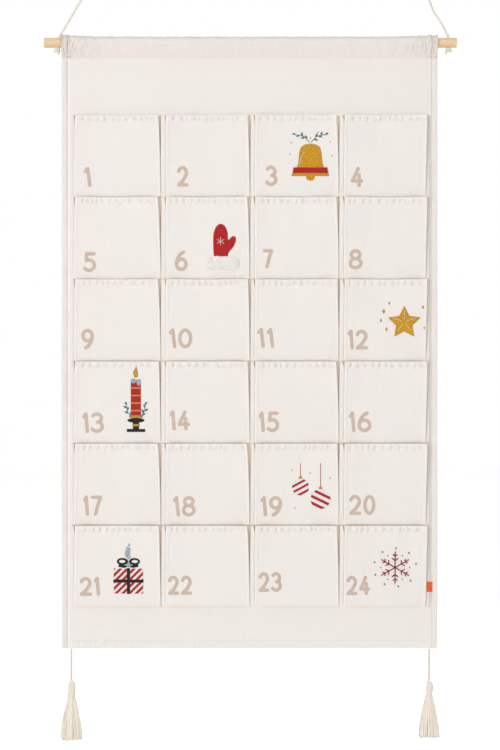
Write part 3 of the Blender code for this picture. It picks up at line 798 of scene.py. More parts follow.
@dataclass
class PocketRow:
    """One continuous strip, pleated into four pockets that open at the top."""

    number: int
    ridge_width: float = 0.0044
    stand: float = 0.0110
    pleat: float = 0.0090
    first_inset: float = 0.0012
    first_spread: float = 0.0031
    first_slot: float = 0.0006
    first_slot_spread: float = 0.0025
    last_inset: float = 0.0061
    last_spread: float = 0.0016
    last_slot_spread: float = 0.0022
    end_slot: float = 0.0009
    end_over: float = 0.0014
    left_inset: float = 0.0043
    right_inset: float = 0.0022
    left_spread: float = 0.0012
    right_spread: float = 0.0032
    spread_power: float = 2.2
    hem: float = 0.0088
    hem_air: float = 0.0001
    billow: float = 0.0012
    broad_wave: float = 0.00055
    fine_wave: float = 0.00012
    mouth_wave: float = 0.0005
    still_edge: float = 0.012
    flat_edge: float = 0.004
    seam_groove: float = 0.00022
    rolled_edge: float = 0.00040
    bottom_dent: float = 0.00030
    low_rows: float = 0.010
    high_rows: float = 0.018
    slot_opens: float = 0.82
    fold_opens: float = 0.86
    tuck_under: float = 0.0030
    tuck_deeper: float = 0.0012
    tuck_slot: float = 0.0030
    mouth_share: float = 0.68
    drawn_up: float = 0.0034
    dent_depth: float = 0.0046
    pinch_spread: float = 0.0014
    pinch_round: float = 0.0010
    run_steps: int = 5
    fold_steps: int = 5
    face_steps: int = 116
    fold_starts: int = 3
    fold_ends: int = 14
    low: Vector = field(init=False)
    high: Vector = field(init=False)

    def __post_init__(self) -> None:
        """Take the strip's place from its node and choose its pockets' small differences."""
        self.low, self.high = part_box(self.node)
        chance = random.Random(self.number)
        pockets = range(COLUMNS)
        self.stands = [self.stand * chance.uniform(0.86, 1.0) for _ in pockets]
        self.spreads = [self.right_spread + chance.uniform(-0.0009, 0.0009) for _ in pockets]
        self.pinch_starts = [chance.uniform(-0.0024, -0.0012) for _ in pockets]
        self.ripples = [Ripples(self.number * 10 + c, 0.060) for c in pockets]
        self.fine = [Ripples(self.number * 10 + c + 5, 0.022) for c in pockets]
        self.puckers = [self.dents(c, 0, (0.012, 0.010), 0.0096, 0.0017) for c in pockets]
        self.bottom_puckers = [self.dents(c, 50, (0.010, 0.009), 0.014, 0.0022) for c in pockets]

    def dents(self, column: int, seed: int, insets: Spot, pitch: float, width: float) -> Puckers:
        """Return one pocket's dents, at a pitch between its seams, less an inset at each side."""
        left, right = self.seam(column) + insets[0], self.seam(column + 1) - insets[1]
        return Puckers(self.number * 100 + column + seed, left, right, pitch, width)

    @property
    def node(self) -> str:
        """Return the CAD node's name."""
        return f"pocket_row_{self.number}"

    @property
    def height(self) -> float:
        """Return the height of the pockets."""
        return self.high.z - self.low.z

    def seam(self, place: int) -> float:
        """Return where a seam runs, counted from the left."""
        return self.low.x + (self.high.x - self.low.x) / COLUMNS * place

    def edges(self, column: int, share: float | Array) -> tuple[float | Array, float | Array]:
        """Return where a pocket's face ends at both sides, at a share of its height."""
        turn = (CLOTH.fold + CLOTH.canvas) / 2
        spread = self.spreads[column] * share ** self.spread_power
        left = self.seam(column) + self.left_inset + self.left_spread * share + turn
        right = self.seam(column + 1) - self.right_inset - spread - turn
        if column == 0:
            left = self.seam(0) + self.first_inset + self.first_spread * share
        if column == COLUMNS - 1:
            right = self.seam(COLUMNS) - self.last_inset + self.last_spread * share
        return left, right

    def lean(self, share: float | Array) -> float | Array:
        """Return how far the face has come forward, as a share, with a slightly full curve."""
        return share + 0.10 * np.sin(np.pi * share)

    def face_depth(self, column: int, x: Array, z: Array) -> Array:
        """Return the depth of the face's middle layer at places on it.

        Args:
            column: the pocket's place in the row.
            x: places across.
            z: places up.

        Returns:
            The depth in front of the backing's middle layer.
        """
        up = z - self.low.z
        down = self.height - up
        share = np.clip(up / self.height, 0.0, 1.0)
        left, right = self.edges(column, share)
        inside, near = [
            step_up(x, left, left + run) * step_up(-x, -right, -right + run)
            for run in (self.still_edge, self.flat_edge)]
        arch = np.sin(np.pi * np.clip((x - left) / (right - left), 0.0, 1.0))
        depth = CLOTH.face_layer + self.stands[column] * self.lean(share) * (
            1.0 - self.mouth_share * arch ** 0.8)
        depth += self.billow * arch * np.sin(np.pi * share)
        depth += inside * self.broad_wave * self.ripples[column].height(x, z * 0.6)
        fine = self.fine[column]
        depth += inside * self.fine_wave * fine.height(x, z * 0.4)
        hanging = np.exp(-down / 0.030) * step_up(down, 0.0, 0.010)
        depth += inside * self.mouth_wave * hanging * fine.height(x * 0.8, z * 0.12)
        hem_line = down - self.hem
        drawn = ridge(hem_line, -self.drawn_up, 0.0031)
        dents = self.puckers[column].height(x, hem_line)
        depth -= near * drawn * (self.dent_depth * dents - 0.0010)
        depth -= near * self.seam_groove * ridge(hem_line, 0.0, 0.0007)
        tuck = CLOTH.face_layer - CLOTH.first_layer
        depth -= inside * tuck * 0.35 * np.exp(-(up / 0.0020) ** 2)
        for off in (x - left, right - x):
            roll = self.rolled_edge * ridge(off, 0.0014, 0.0012)
            roll = roll - self.rolled_edge / 2 * ridge(off, 0.0048, 0.0022)
            depth += roll * step_up(off, 0.0, 0.0008) * step_up(down, 0.0, 0.004)
        sewn = self.bottom_puckers[column].height(x, up)
        return depth - near * self.bottom_dent * sewn * ridge(up, 0.0045, 0.004)

    def gusset(self, column: int, side: float, share: float) -> list[Array]:
        """Return one gusset's stretches from its seam to the face's edge.

        Args:
            column: the pocket's place in the row.
            side: 1 at the pocket's left, -1 at its right.
            share: the share of the pocket's height.

        Returns:
            The ridge, the run in, the fold, the run out and the face's folded edge.
        """
        seam = self.seam(column if side > 0 else column + 1)
        edge = self.edges(column, share)[0 if side > 0 else 1]
        stand = self.stands[column] * self.lean(share)
        face = CLOTH.face_layer + stand
        fold, lying = CLOTH.fold, CLOTH.first_layer
        middle = (lying + face - fold) / 2
        start = seam + side * self.ridge_width / 2
        if side > 0 and column == 0:
            opened = float(step_up(np.array(share), self.slot_opens, 1.0))
            start = edge - self.first_slot - self.first_slot_spread * opened
        elif side < 0 and column == COLUMNS - 1:
            start = edge + self.end_slot + self.last_slot_spread * share ** 3
        reach = sqrt(max(self.pleat ** 2 - (stand / 2) ** 2, 0.0))
        deep = (start + edge) / 2 + side * reach
        return [
            self.pinched(column, start, edge, share, face) if side > 0
            else line_points((seam, lying), (start, lying), 2),
            line_points((start, lying), (deep, middle - fold / 2), self.run_steps),
            arc_points((deep, middle), fold / 2, -pi / 2, side * pi, self.fold_steps),
            line_points((deep, middle + fold / 2), (edge, face - fold), self.run_steps),
            arc_points((edge, face - fold / 2), fold / 2, -pi / 2, -side * pi, self.fold_steps),
            np.array([[edge, face]]),
        ]

    def pinched(self, column: int, start: float, edge: float, share: float, face: float) -> Array:
        """Return the narrow fold that stands up beside a seam, where two pleats push together.

        Args:
            column: the place in the row of the pocket at the fold's right.
            start: where the pocket's pleat starts.
            edge: where its face's fold turns.
            share: the share of the pocket's height.
            face: the face's depth there.

        Returns:
            Points from the seam to the start of the pleat.
        """
        lying = CLOTH.first_layer
        open_top = float(step_up(np.array(share), self.fold_opens, 1.0))
        top = face - self.tuck_under - self.tuck_deeper * open_top
        if column == 0:
            near = self.low.x - self.end_over
            begin = near - self.end_over / 4
            far = start
            top = lying + (top - lying) * (0.25 + 0.75 * open_top)
        else:
            seam = self.seam(column)
            near = seam + self.pinch_starts[column] + self.pinch_spread * share ** self.spread_power
            begin = min(seam - self.ridge_width / 4, near - self.end_over / 8)
            far = edge - self.tuck_slot * open_top
        top = max(top, lying + CLOTH.air)
        rounding = min(self.pinch_round, top - lying, (far - near) * 0.45)
        return np.concatenate([
            line_points((begin, lying), (near, lying), 1),
            line_points((near, lying), (near, top - rounding), 4),
            arc_points((near + rounding, top - rounding), rounding, pi, -pi / 2, 4),
            line_points((near + rounding, top), (far, top - 0.0002), 3),
            line_points((far, top - 0.0004), (start, lying), 4),
        ])

    def profile(self, share: float) -> Array:
        """Return the strip's middle line at a share of its height, as places across and depths."""
        z = self.low.z + self.height * share
        stretches = []
        for column in range(COLUMNS):
            left, right = self.edges(column, share)
            face = line_points((left, 0.0), (right, 0.0), self.face_steps)[1:]
            face[:, 1] = self.face_depth(column, face[:, 0], np.full(len(face), z))
            going, coming = [
                np.concatenate(self.gusset(column, side, share)) for side in (1.0, -1.0)]
            going[-1, 1] += (face[0, 1] - going[-1, 1]) * 0.3
            stretches += [going, face, coming[::-1][:-1]]
        stretches.append(np.array([[self.high.x + self.end_over, CLOTH.first_layer]]))
        return np.concatenate(stretches)

    def levels(self) -> Array:
        """Return the heights of the grid's rows, closer at the hem and at the bottom seam."""
        stops = (0.0, self.low_rows, self.height - self.high_rows, self.height)
        parts = [np.linspace(*ends) for ends in zip(stops, stops[1:], (8, 15, 16))]
        return np.unique(np.concatenate(parts))

    def build(self) -> None:
        """Build the strip with its turned top hem."""
        levels = self.levels()
        turned = np.linspace(0.0, self.hem, 6)
        profiles = [self.profile(level / self.height) for level in levels]
        for level in turned:
            outer = self.profile(1.0 - level / self.height)
            profiles.append(self.pushed_back(outer, CLOTH.canvas + self.hem_air))
        stack = np.array(profiles)
        tops = np.concatenate([self.low.z + levels, self.low.z + self.height - turned - 0.0002])
        across = np.cumsum(np.linalg.norm(np.diff(stack[0], axis=0), axis=1))
        across = np.concatenate([[0.0], across])
        tall = np.concatenate([levels, self.height + turned + 0.0005])

        def place(column: Array, row: Array) -> tuple[Array, Array]:
            """Return the folded and the flat place of the grid's crossings."""
            x, depth = stack[row, column].T
            return np.stack([x, -depth, tops[row]], 1), np.stack([across[column], tall[row]], 1)

        mesh = cloth_mesh(self.node, len(across) - 1, len(tops) - 1, place)
        self.mark(mesh, len(across))
        piece = add_piece(f"pocket_strip_{self.number}", mesh, "canvas", self.node)
        add_thickness(piece, CLOTH.canvas * 0.9, 0.0)

    def inside_marks(self) -> Array:
        """Return 1 for each column of the grid that lies within a pleat, where warm shade is
        painted, and 0 for the others.
        """
        marks = []
        for column in range(COLUMNS):
            first, *folded, turned, _ = self.gusset(column, 1.0, 1.0)
            lead = np.zeros(len(first))
            lead[:self.fold_starts] = 1.0 if column > 0 else 0.0
            lead[self.fold_ends:] = 1.0
            marks += [lead] + [np.ones(len(part)) for part in folded] + [np.zeros(len(turned) + 1)]
            first, *folded, turned, _ = self.gusset(column, -1.0, 1.0)
            deep = np.ones(sum(len(part) for part in folded))
            lead = np.full(len(first) - 1, 0.0 if column == COLUMNS - 1 else 1.0)
            marks += [np.zeros(self.face_steps + len(turned)), deep, lead]
        return np.concatenate(marks + [np.zeros(1)])

    def mark(self, mesh: Mesh, columns: int) -> None:
        """Mark painted warm shade in the pleats and along the bottom, painted shade in the hem's
        puckers, and painted highlights on folded edges.
        """
        inside = np.tile(self.inside_marks(), len(mesh.vertices) // columns)
        x, _, z = vertex_places(mesh).T
        down = self.high.z - z
        share = np.clip(1.0 - down / self.height, 0.0, 1.0)
        dents = np.zeros(len(x))
        # Painted highlights on the hem's top fold and on the faces' folded edges
        pressed = 0.5 * ridge(down, 0.0, 0.0012)
        for column in range(COLUMNS):
            dents = np.maximum(dents, self.puckers[column].height(x, down - self.hem))
            left, right = self.edges(column, share)
            both_edges = ridge(x, left + 0.0004, 0.0010) + ridge(x, right - 0.0004, 0.0010)
            pressed = np.maximum(pressed, both_edges)
        # Painted warm shade within the pleats and along the strip's bottom edge
        add_marks(mesh, "inside", np.maximum(inside, 0.7 * ridge(self.height - down, 0.0, 0.0020)))
        # Painted shade in the hem's puckers
        drawn = dents * ridge(down, self.hem - self.drawn_up, 0.0024)
        add_marks(mesh, "crease", (1.0 - inside) * drawn)
        add_marks(mesh, "pressed", (1.0 - inside) * pressed)

    @staticmethod
    def pushed_back(profile: Array, distance: float) -> Array:
        """Return a profile moved towards the inside of the pocket, square to itself."""
        ahead = np.roll(profile, -1, 0) - np.roll(profile, 1, 0)
        ahead[0] = profile[1] - profile[0]
        ahead[-1] = profile[-1] - profile[-2]
        length = np.linalg.norm(ahead, axis=1, keepdims=True)
        normal = np.stack([ahead[:, 1], -ahead[:, 0]], 1) / np.maximum(length, 1e-9)
        return profile + normal * distance


@dataclass
class Backing:
    """The backing with its rod casing, and hems turned to the back."""

    casing_drop: float = 0.0212
    casing_flap: float = 0.0070
    side_hem: float = 0.0084
    bottom_hem: float = 0.0108
    rod_radius: float = 0.0070
    rod_drop: float = 0.100
    hem_edge: float = 0.0026
    crease_run: float = 0.075
    broad_wave: float = 0.00050
    mild_wave: float = 0.00010
    side_welt: float = 0.00075
    side_groove: float = 0.00080
    bottom_line: float = 0.00030
    side_dent: float = 0.00130
    bottom_dent: float = 0.00170
    puff: float = 0.00100
    end_puff: float = 0.00360
    seam_dip: float = 0.0004
    seam_nip: float = 0.0010
    low: Vector = field(init=False)
    high: Vector = field(init=False)

    def __post_init__(self) -> None:
        """Take the cloth's place from its node."""
        self.low, self.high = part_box("backing_cloth")
        self.broad = Ripples(3, 0.110)
        self.mild = Ripples(4, 0.034)
        self.gathers = Ripples(5, 0.013, 9)
        self.creases = [
            Puckers(seed, 0.0, self.crease_run, 0.0062, 0.0011, 0.30) for seed in (9, 10)]
        self.nips = Puckers(11, self.low.x, self.high.x, 0.0090, 0.0013)
        self.bottom = Puckers(6, self.low.x, self.high.x, 0.0072, 0.0015)
        self.sides = [Puckers(seed, self.low.z, self.high.z, 0.0105, 0.0024) for seed in (7, 8)]

    @classmethod
    def upright_seams(cls) -> tuple[float, float]:
        """Return how far from the cloth's left edge the side hems are sewn."""
        low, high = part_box("backing_cloth")
        return (cls.side_hem, high.x - low.x - cls.side_hem)

    @classmethod
    def hem_bands(cls) -> tuple[tuple[float, float], ...]:
        """Return where the side hems lie, from the cloth's left edge."""
        left, right = cls.upright_seams()
        return ((cls.hem_edge, left), (right, right + left - cls.hem_edge))

    @property
    def seam(self) -> float:
        """Return the height of the casing's seam."""
        return -self.rod_drop - self.casing_drop

    @property
    def half(self) -> float:
        """Return half the cloth's width."""
        return (self.high.x - self.low.x) / 2

    def from_side(self, x: Array) -> Array:
        """Return how far places lie from the nearer side edge."""
        return self.half - np.abs(x - (self.low.x + self.high.x) / 2)

    def path(self) -> tuple[Array, Array]:
        """Return the cloth's middle line from the flap over the rod to the bottom edge.

        Returns:
            The places, towards the back and up, and the length of cloth up to each.
        """
        reach = self.rod_radius + CLOTH.air + CLOTH.canvas / 2
        back = CLOTH.canvas + CLOTH.air
        front_turn = acos(reach / self.casing_drop)
        slant = hypot(self.casing_drop, back)
        back_turn = acos(reach / slant) + atan2(back, self.casing_drop)
        sweep = tau - front_turn - back_turn
        rod_z = -self.rod_drop
        first, last = [
            (reach * sin(turn), rod_z - reach * cos(turn))
            for turn in (back_turn, back_turn + sweep)]
        stretches = [
            line_points((back, self.seam - self.casing_flap), (back, self.seam), 4),
            line_points((back, self.seam), first, 9),
            arc_points((0.0, rod_z), reach, back_turn - pi / 2, sweep, 26),
            line_points(last, (0.0, self.seam), 12),
        ]
        top = self.seam
        for bottom, steps in (
            (self.seam - 0.012, 9), (self.low.z + 0.125, 60), (self.low.z + 0.016, 28),
            (self.low.z, 12)):
            stretches.append(line_points((0.0, top), (0.0, bottom), steps))
            top = bottom
        places = np.concatenate(stretches + [np.array([[0.0, self.low.z]])])
        lengths = np.linalg.norm(np.diff(places, axis=0), axis=1)
        return places, np.concatenate([[0.0], np.cumsum(lengths)])

    def columns(self) -> Array:
        """Return the places of the grid's columns across the cloth, closer at the side hems."""
        wide, crease = 2 * self.half, self.crease_run
        hem_end = self.side_hem + 0.004
        edge = np.linspace(0.0, hem_end, 13)
        creased = np.linspace(hem_end, crease, 64)
        inner = np.linspace(crease, wide - crease, 146)
        places = np.concatenate([edge, creased, inner, wide - creased, wide - edge])
        return self.low.x + np.unique(np.round(places, 6))

    def relief(self, x: Array, z: Array) -> Array:
        """Return how far the front stands out from a flat sheet."""
        from_side, from_bottom = self.from_side(x), z - self.low.z
        out = self.broad_wave * self.broad.height(x, z) + self.mild_wave * self.mild.height(x, z)
        out = out * step_up(self.seam - z, 0.0, 0.040)
        groove = ridge(from_side, self.side_hem, 0.0011)
        welt = ridge(from_side, self.side_hem * 0.45, self.side_hem * 0.42)
        sides, bottom = self.hem_dents(x, z)
        out = out + self.side_welt * welt - self.side_groove * groove
        out = out - self.side_dent * sides - self.bottom_dent * bottom
        out = out - self.bottom_line * ridge(from_bottom, self.bottom_hem, 0.0009)
        return out + self.bottom_line * ridge(from_bottom, self.bottom_hem * 0.5, 0.004)

    @staticmethod
    def two_sided(dents: Sequence[Puckers], x: Array, along: Array, away: Array) -> Array:
        """Return the first dents' depth left of the middle and the second ones' right of it."""
        return np.where(x < 0.0, dents[0].height(along, away), dents[1].height(along, away))

    def hem_dents(self, x: Array, z: Array) -> tuple[Array, Array]:
        """Return how strongly the side hems and the bottom hem are drawn in, from 0 to 1."""
        from_side, from_bottom = self.from_side(x), z - self.low.z
        sides = self.two_sided(self.sides, x, z, from_side)
        bottom = self.bottom.height(x, from_bottom) * (0.35 + 0.65 * step_up(-x, -0.10, 0.25))
        return (
            sides * ridge(from_side, self.side_hem - 0.0014, 0.0042),
            bottom * ridge(from_bottom, self.bottom_hem - 0.0030, 0.0050))

    def gathered(self, x: Array, z: Array) -> Array:
        """Return how deep the casing's creases are, from 0 to 1, deepest at the rod's ends."""
        from_side = self.from_side(x)
        below = self.seam + self.casing_drop - z
        leaning = from_side - 0.14 * below + 0.0022 * self.mild.height(x, z)
        crease = self.two_sided(self.creases, x, leaning, below)
        upward = step_up(z, self.seam - 0.002, self.seam + 0.004)
        return crease * np.exp(-from_side / 0.060) * upward

    def casing_relief(self, x: Array, z: Array) -> Array:
        """Return the casing's puffs, cut by steep creases at both ends of the rod."""
        fade = np.exp(-self.from_side(x) / 0.030)
        between = step_up(z, self.seam - 0.006, self.seam + 0.005)
        puffs = self.puff * (0.5 + 0.5 * self.gathers.height(x + 0.35 * z, z * 0.10))
        out = (puffs + self.end_puff * fade) * (1.0 - 0.95 * self.gathered(x, z)) * between
        nips = self.nips.height(x, self.seam - z) * ridge(z, self.seam - 0.0010, 0.0030)
        below = step_up(self.seam - z, -0.0004, 0.0006)
        return out - self.seam_dip * ridge(z, self.seam, 0.0009) - self.seam_nip * nips * below

    def front(self, x: Array, z: Array) -> Array:
        """Return the depth of the plain cloth's front at places on it."""
        return self.relief(x, z) + CLOTH.canvas / 2

    def doubled(self, x: Array, z: Array) -> Array:
        """Return where the cloth lies double, turned to the back at its hems."""
        turned = (self.from_side(x) < self.side_hem) | (z - self.low.z < self.bottom_hem)
        return turned & (z < self.seam - self.casing_flap)

    def back(self, x: Array, z: Array) -> Array:
        """Return the depth of the cloth's back at places on it."""
        return self.front(x, z) - CLOTH.canvas * np.where(self.doubled(x, z), 2.0, 1.0)

    def build(self) -> None:
        """Build the cloth with its casing round the rod."""
        places, lengths = self.path()
        columns = self.columns()
        ahead = np.gradient(places, axis=0)
        ahead /= np.linalg.norm(ahead, axis=1, keepdims=True)
        outward = np.stack([ahead[:, 1], -ahead[:, 0]], 1)

        def place(column: Array, row: Array) -> tuple[Array, Array]:
            """Return the folded and the flat place of the grid's crossings."""
            at = len(lengths) - 1 - row
            x, y, z = columns[column], places[at, 0], places[at, 1]
            at_front = (outward[at, 0] < 0.2).astype(float)
            plain = self.relief(x, z) * step_up(self.seam - z, -0.02, 0.0)
            out = at_front * (self.casing_relief(x, z) + plain) + CLOTH.canvas / 2
            folded = np.stack([x, y + outward[at, 0] * out, z + outward[at, 1] * out], 1)
            return folded, np.stack([x - self.low.x, lengths[-1] - lengths[at]], 1)

        mesh = cloth_mesh("backing_canvas", len(columns) - 1, len(lengths) - 1, place)
        piece = add_piece("backing_canvas", mesh, "backing_canvas", "backing_cloth")
        x, _, z = vertex_places(mesh).T
        layers = piece.vertex_groups.new(name="layers")
        double = self.doubled(x, z)
        for where, share in ((double, 1.0), (~double, 0.5)):
            layers.add([int(i) for i in np.nonzero(where)[0]], share, "REPLACE")
        # Painted shade in the casing's creases and in the hems' puckers
        sides, bottom = self.hem_dents(x, z)
        add_marks(mesh, "crease", self.gathered(x, z) + 0.55 * sides + 0.45 * bottom)
        # A painted highlight just inside the side hems' stitching, below the casing
        below = step_up(self.seam - z, 0.0, 0.004)
        add_marks(mesh, "pressed", below * ridge(self.from_side(x), self.side_hem + 0.0016, 0.0014))
        add_thickness(piece, 2 * CLOTH.canvas, -1.0, "layers")


@dataclass
class Stitching:
    """Lines of machine stitching in cream thread."""

    pitch: float = 0.0030
    length: float = 0.0023
    radius: float = 0.00030
    sunk: float = 0.35
    aside: float = 0.0006
    margin: float = 0.001
    seam_end: float = 0.002
    bottom_seam: float = 0.0035

    def line(self, start: Spot, end: Spot, depth: Drape, facing: float = 1.0) -> BMesh:
        """Return the stitches along one straight line.

        Args:
            start: the line's start, across and up.
            end: its end.
            depth: how far forward the cloth's surface lies.
            facing: 1 for stitches on the front, -1 on the back.

        Returns:
            The stitches, each a long bead of thread.
        """
        bm = bmesh.new()
        first = np.array(start, float)
        run = np.array(end, float) - first
        count = max(1, round(float(np.linalg.norm(run)) / self.pitch))
        middles = first + run * (np.arange(count)[:, None] + 0.5) / count
        depths = depth(middles[:, 0], middles[:, 1]) - self.radius * self.sunk * facing
        for middle, out in zip(middles, depths):
            add_bead(bm, middle, float(out), run, self.length, self.radius)
        return bm

    def add(self, name: str, lines: Iterable[BMesh]) -> None:
        """Add a piece made of several lines."""
        add_piece(name, smooth_mesh(join(lines), name, outward=False), "seam_thread")

    def sew_row(self, row: PocketRow, pockets: Sequence["Pocket"]) -> None:
        """Sew one pocket strip: its ridges, its hem and its bottom seam."""
        ridge_front = self.even(CLOTH.first_layer + CLOTH.canvas / 2)
        low, high = row.low.z + self.seam_end, row.high.z - self.margin
        lines = []
        for place in range(COLUMNS + 1):
            x = row.seam(place) + (self.aside if place == COLUMNS else -self.aside)
            lines.append(self.line((x, low), (x, high), ridge_front))
        for pocket in pockets:
            for share, z in ((1.0, row.high.z - row.hem), (0.0, row.low.z + self.bottom_seam)):
                left, right = (float(x) for x in row.edges(pocket.column, share))
                ends = (left + self.margin, z), (right - self.margin, z)
                lines.append(self.line(*ends, pocket.drape()))
        self.add(f"row_stitches_{row.number}", lines)

    @staticmethod
    def even(depth: float) -> Drape:
        """Return a drape of one depth."""
        return lambda x, z: np.full_like(x, depth)

    def sew_backing(self, backing: Backing) -> None:
        """Sew the backing's hems and its casing."""
        low, high, inset = backing.low, backing.high, backing.side_hem
        ends = [
            ((x, low.z + self.margin), (x, backing.seam)) for x in (low.x + inset, high.x - inset)]
        for z in (low.z + backing.bottom_hem, backing.seam):
            ends.append(((low.x + self.margin, z), (high.x - self.margin, z)))
        self.add("hem_stitches", [self.line(*pair, backing.front) for pair in ends])

    def sew_back(self, backing: Backing, rows: Sequence[PocketRow]) -> None:
        """Add the same seams' thread on the back of the cloth."""
        low, high, inset, off = backing.low, backing.high, backing.side_hem, self.margin
        ends = [
            ((x, low.z + off), (x, backing.seam - 0.008))
            for x in (low.x + inset - off, high.x - inset + off)]
        bottom = low.z + backing.bottom_hem - off
        ends.append(((low.x + off, bottom), (high.x - off, bottom)))
        for row in rows:
            for place in range(COLUMNS + 1):
                x = row.seam(place) - self.aside
                ends.append(((x, row.low.z + self.seam_end), (x, row.high.z - off)))
            z = row.low.z + self.bottom_seam
            ends.append(((row.low.x + self.seam_end, z), (row.high.x - self.seam_end, z)))
        lines = [self.line(start, end, backing.back, -1.0) for start, end in ends]
        flap = self.even(-(2.5 * CLOTH.canvas + CLOTH.air) + 0.0009)
        left, right = (low.x + off, backing.seam), (high.x - off, backing.seam)
        lines.append(self.line(left, right, flap, -1.0))
        self.add("back_stitches", lines)


def stroke(points: Sequence[Spot], half: float | Sequence[float]) -> Field:
    """Return the field of a stroke along a line: below zero inside it.

    Args:
        points: the line's points.
        half: half its width, or half its width at each point.

    Returns:
        The field.
    """
    line = np.array([tuple(point)[:2] for point in points], float)
    halves = np.full(len(line), half) if np.isscalar(half) else np.array(half, float)

    def distance(p: Array) -> Array:
        """Return the distance to the stroke's edge."""
        best = np.full(len(p), 1e9)
        for a, b, wa, wb in zip(line, line[1:], halves, halves[1:]):
            run = b - a
            t = np.clip((p - a) @ run / max(float(run @ run), 1e-12), 0.0, 1.0)
            away = np.linalg.norm(p - a - t[:, None] * run, axis=1)
            best = np.minimum(best, away - (wa + (wb - wa) * t))
        return best

    return distance


def disc(centre: Spot, radii: Spot) -> Field:
    """Return the field of a disc or an ellipse."""
    middle, size = np.array(centre, float), np.array(radii, float)
    return lambda p: (np.linalg.norm((p - middle) / size, axis=1) - 1.0) * float(min(size))


def polygon(points: Sequence[Spot]) -> Field:
    """Return the field of a closed outline."""
    corners = np.array(points, float)

    def distance(p: Array) -> Array:
        """Return the distance to the outline, below zero inside it."""
        away = np.full(len(p), 1e9)
        inside = np.zeros(len(p), bool)
        for a, b in zip(corners, np.roll(corners, -1, 0)):
            run = b - a
            t = np.clip((p - a) @ run / max(float(run @ run), 1e-18), 0.0, 1.0)
            away = np.minimum(away, np.linalg.norm(p - a - t[:, None] * run, axis=1))
            crosses = (a[1] > p[:, 1]) != (b[1] > p[:, 1])
            level = a[0] + run[0] * (p[:, 1] - a[1]) / (run[1] if run[1] else 1e-18)
            inside ^= crosses & (p[:, 0] < level)
        return np.where(inside, -away, away)

    return distance


def block(middle: Vector, left: float, low: float, right: float, high: float) -> Field:
    """Return the field of an upright block, by its sides' distances from a point."""
    x, z = middle.x, middle.z
    return polygon((
        (x + left, z + low), (x + right, z + low), (x + right, z + high), (x + left, z + high)))


def either(*fields: Field) -> Field:
    """Return the field of several shapes together."""
    return lambda p: np.min([f(p) for f in fields], axis=0)


def both(*fields: Field) -> Field:
    """Return the field of what several shapes share."""
    return lambda p: np.max([f(p) for f in fields], axis=0)


def without(shape: Field, hole: Field) -> Field:
    """Return the field of one shape less another."""
    return lambda p: np.maximum(shape(p), -hole(p))


@dataclass(frozen=True)
class Relief:
    """A flat shape that lies on the cloth with a rounded edge."""

    shape: Field
    low: Spot
    high: Spot
    height: float
    edge: float
    step: float = 0.00055
    rough: float = 0.0
    margin: float = 0.001

    def towards_edge(self, p: Array, inset: float = 0.0) -> Array:
        """Return points moved one step towards a line that runs inset within the outline."""
        tiny = self.step * 0.05
        here = self.shape(p)
        grown = [self.shape(p + np.array(way)) - here for way in ((tiny, 0.0), (0.0, tiny))]
        way = np.stack(grown, 1) / tiny
        return p - way * ((here + inset) / np.maximum((way ** 2).sum(1), 0.1))[:, None]

    @classmethod
    def between(cls, shape: Field, low: Spot, high: Spot, *sizes: float, **more: float) -> "Relief":
        """Return the relief of a shape that lies between two corners, with a margin round it."""
        low, high = np.array(low) - cls.margin, np.array(high) + cls.margin
        return cls(shape, low, high, *sizes, **more)

    def build(self, name: str, drape: Drape) -> Mesh:
        """Cut the shape from a fine grid, snap its border to the outline and lay it down.

        Args:
            name: the mesh's name.
            drape: how far forward the cloth lies under it.

        Returns:
            The mesh, closed at its back.
        """
        low, high = np.array(self.low), np.array(self.high)
        columns, rows = [max(2, ceil(float(length) / self.step)) for length in high - low]
        bm = bmesh.new()
        bmesh.ops.create_grid(bm, x_segments=columns, y_segments=rows, size=0.5)
        p = self.flat_places(bm.verts) * (high - low) + (low + high) / 2
        bm.verts.ensure_lookup_table()
        outside = [bm.verts[int(i)] for i in np.nonzero(self.shape(p) > 0.45 * self.step)[0]]
        self.move(bm.verts, p)
        bmesh.ops.delete(bm, geom=outside, context="VERTS")
        bmesh.ops.delete(bm, geom=[v for v in bm.verts if not v.link_faces], context="VERTS")
        border = [v for v in bm.verts if v.is_boundary]
        p = self.flat_places(border)
        for _ in range(3):
            p = self.towards_edge(p)
        self.move(border, p)
        self.raise_up(bm, drape)
        sides = [e for e in bm.edges if e.is_boundary]
        skirt = bmesh.ops.extrude_edge_only(bm, edges=sides)["geom"]
        back = [v for v in skirt if isinstance(v, BMVert)]
        bmesh.ops.translate(bm, verts=back, vec=(0.0, CLOTH.canvas * 0.3, 0.0))
        rim = [e for e in skirt if isinstance(e, BMEdge) and e.is_boundary]
        bmesh.ops.triangle_fill(bm, use_beauty=True, edges=rim, normal=(0.0, 1.0, 0.0))
        bmesh.ops.recalc_face_normals(bm, faces=bm.faces)
        return smooth_mesh(bm, name)

    @staticmethod
    def flat_places(verts: Iterable[BMVert]) -> Array:
        """Return the places of vertices that still lie flat."""
        return np.array([(v.co.x, v.co.y) for v in verts])

    @staticmethod
    def move(verts: Iterable[BMVert], places: Array) -> None:
        """Move vertices that still lie flat."""
        for vert, (x, z) in zip(verts, places):
            vert.co = Vector((x, z, 0.0))

    def raise_up(self, bm: BMesh, drape: Drape) -> None:
        """Turn the shape upright, lay it on the cloth and round its edge."""
        p = self.flat_places(bm.verts)
        inward = np.clip(-self.shape(p) / self.edge, 0.0, 1.0)
        rise = self.height * np.sqrt(np.clip(1.0 - (1.0 - inward) ** 2, 0.0, 1.0))
        if self.rough:
            fuzz = Ripples(11, self.step * 9, 9).height(p[:, 0], p[:, 1])
            rise = rise + self.rough * fuzz * inward
        out = drape(p[:, 0], p[:, 1]) + rise
        for vert, (x, z), y in zip(bm.verts, p, out):
            vert.co = Vector((x, -float(y), z))


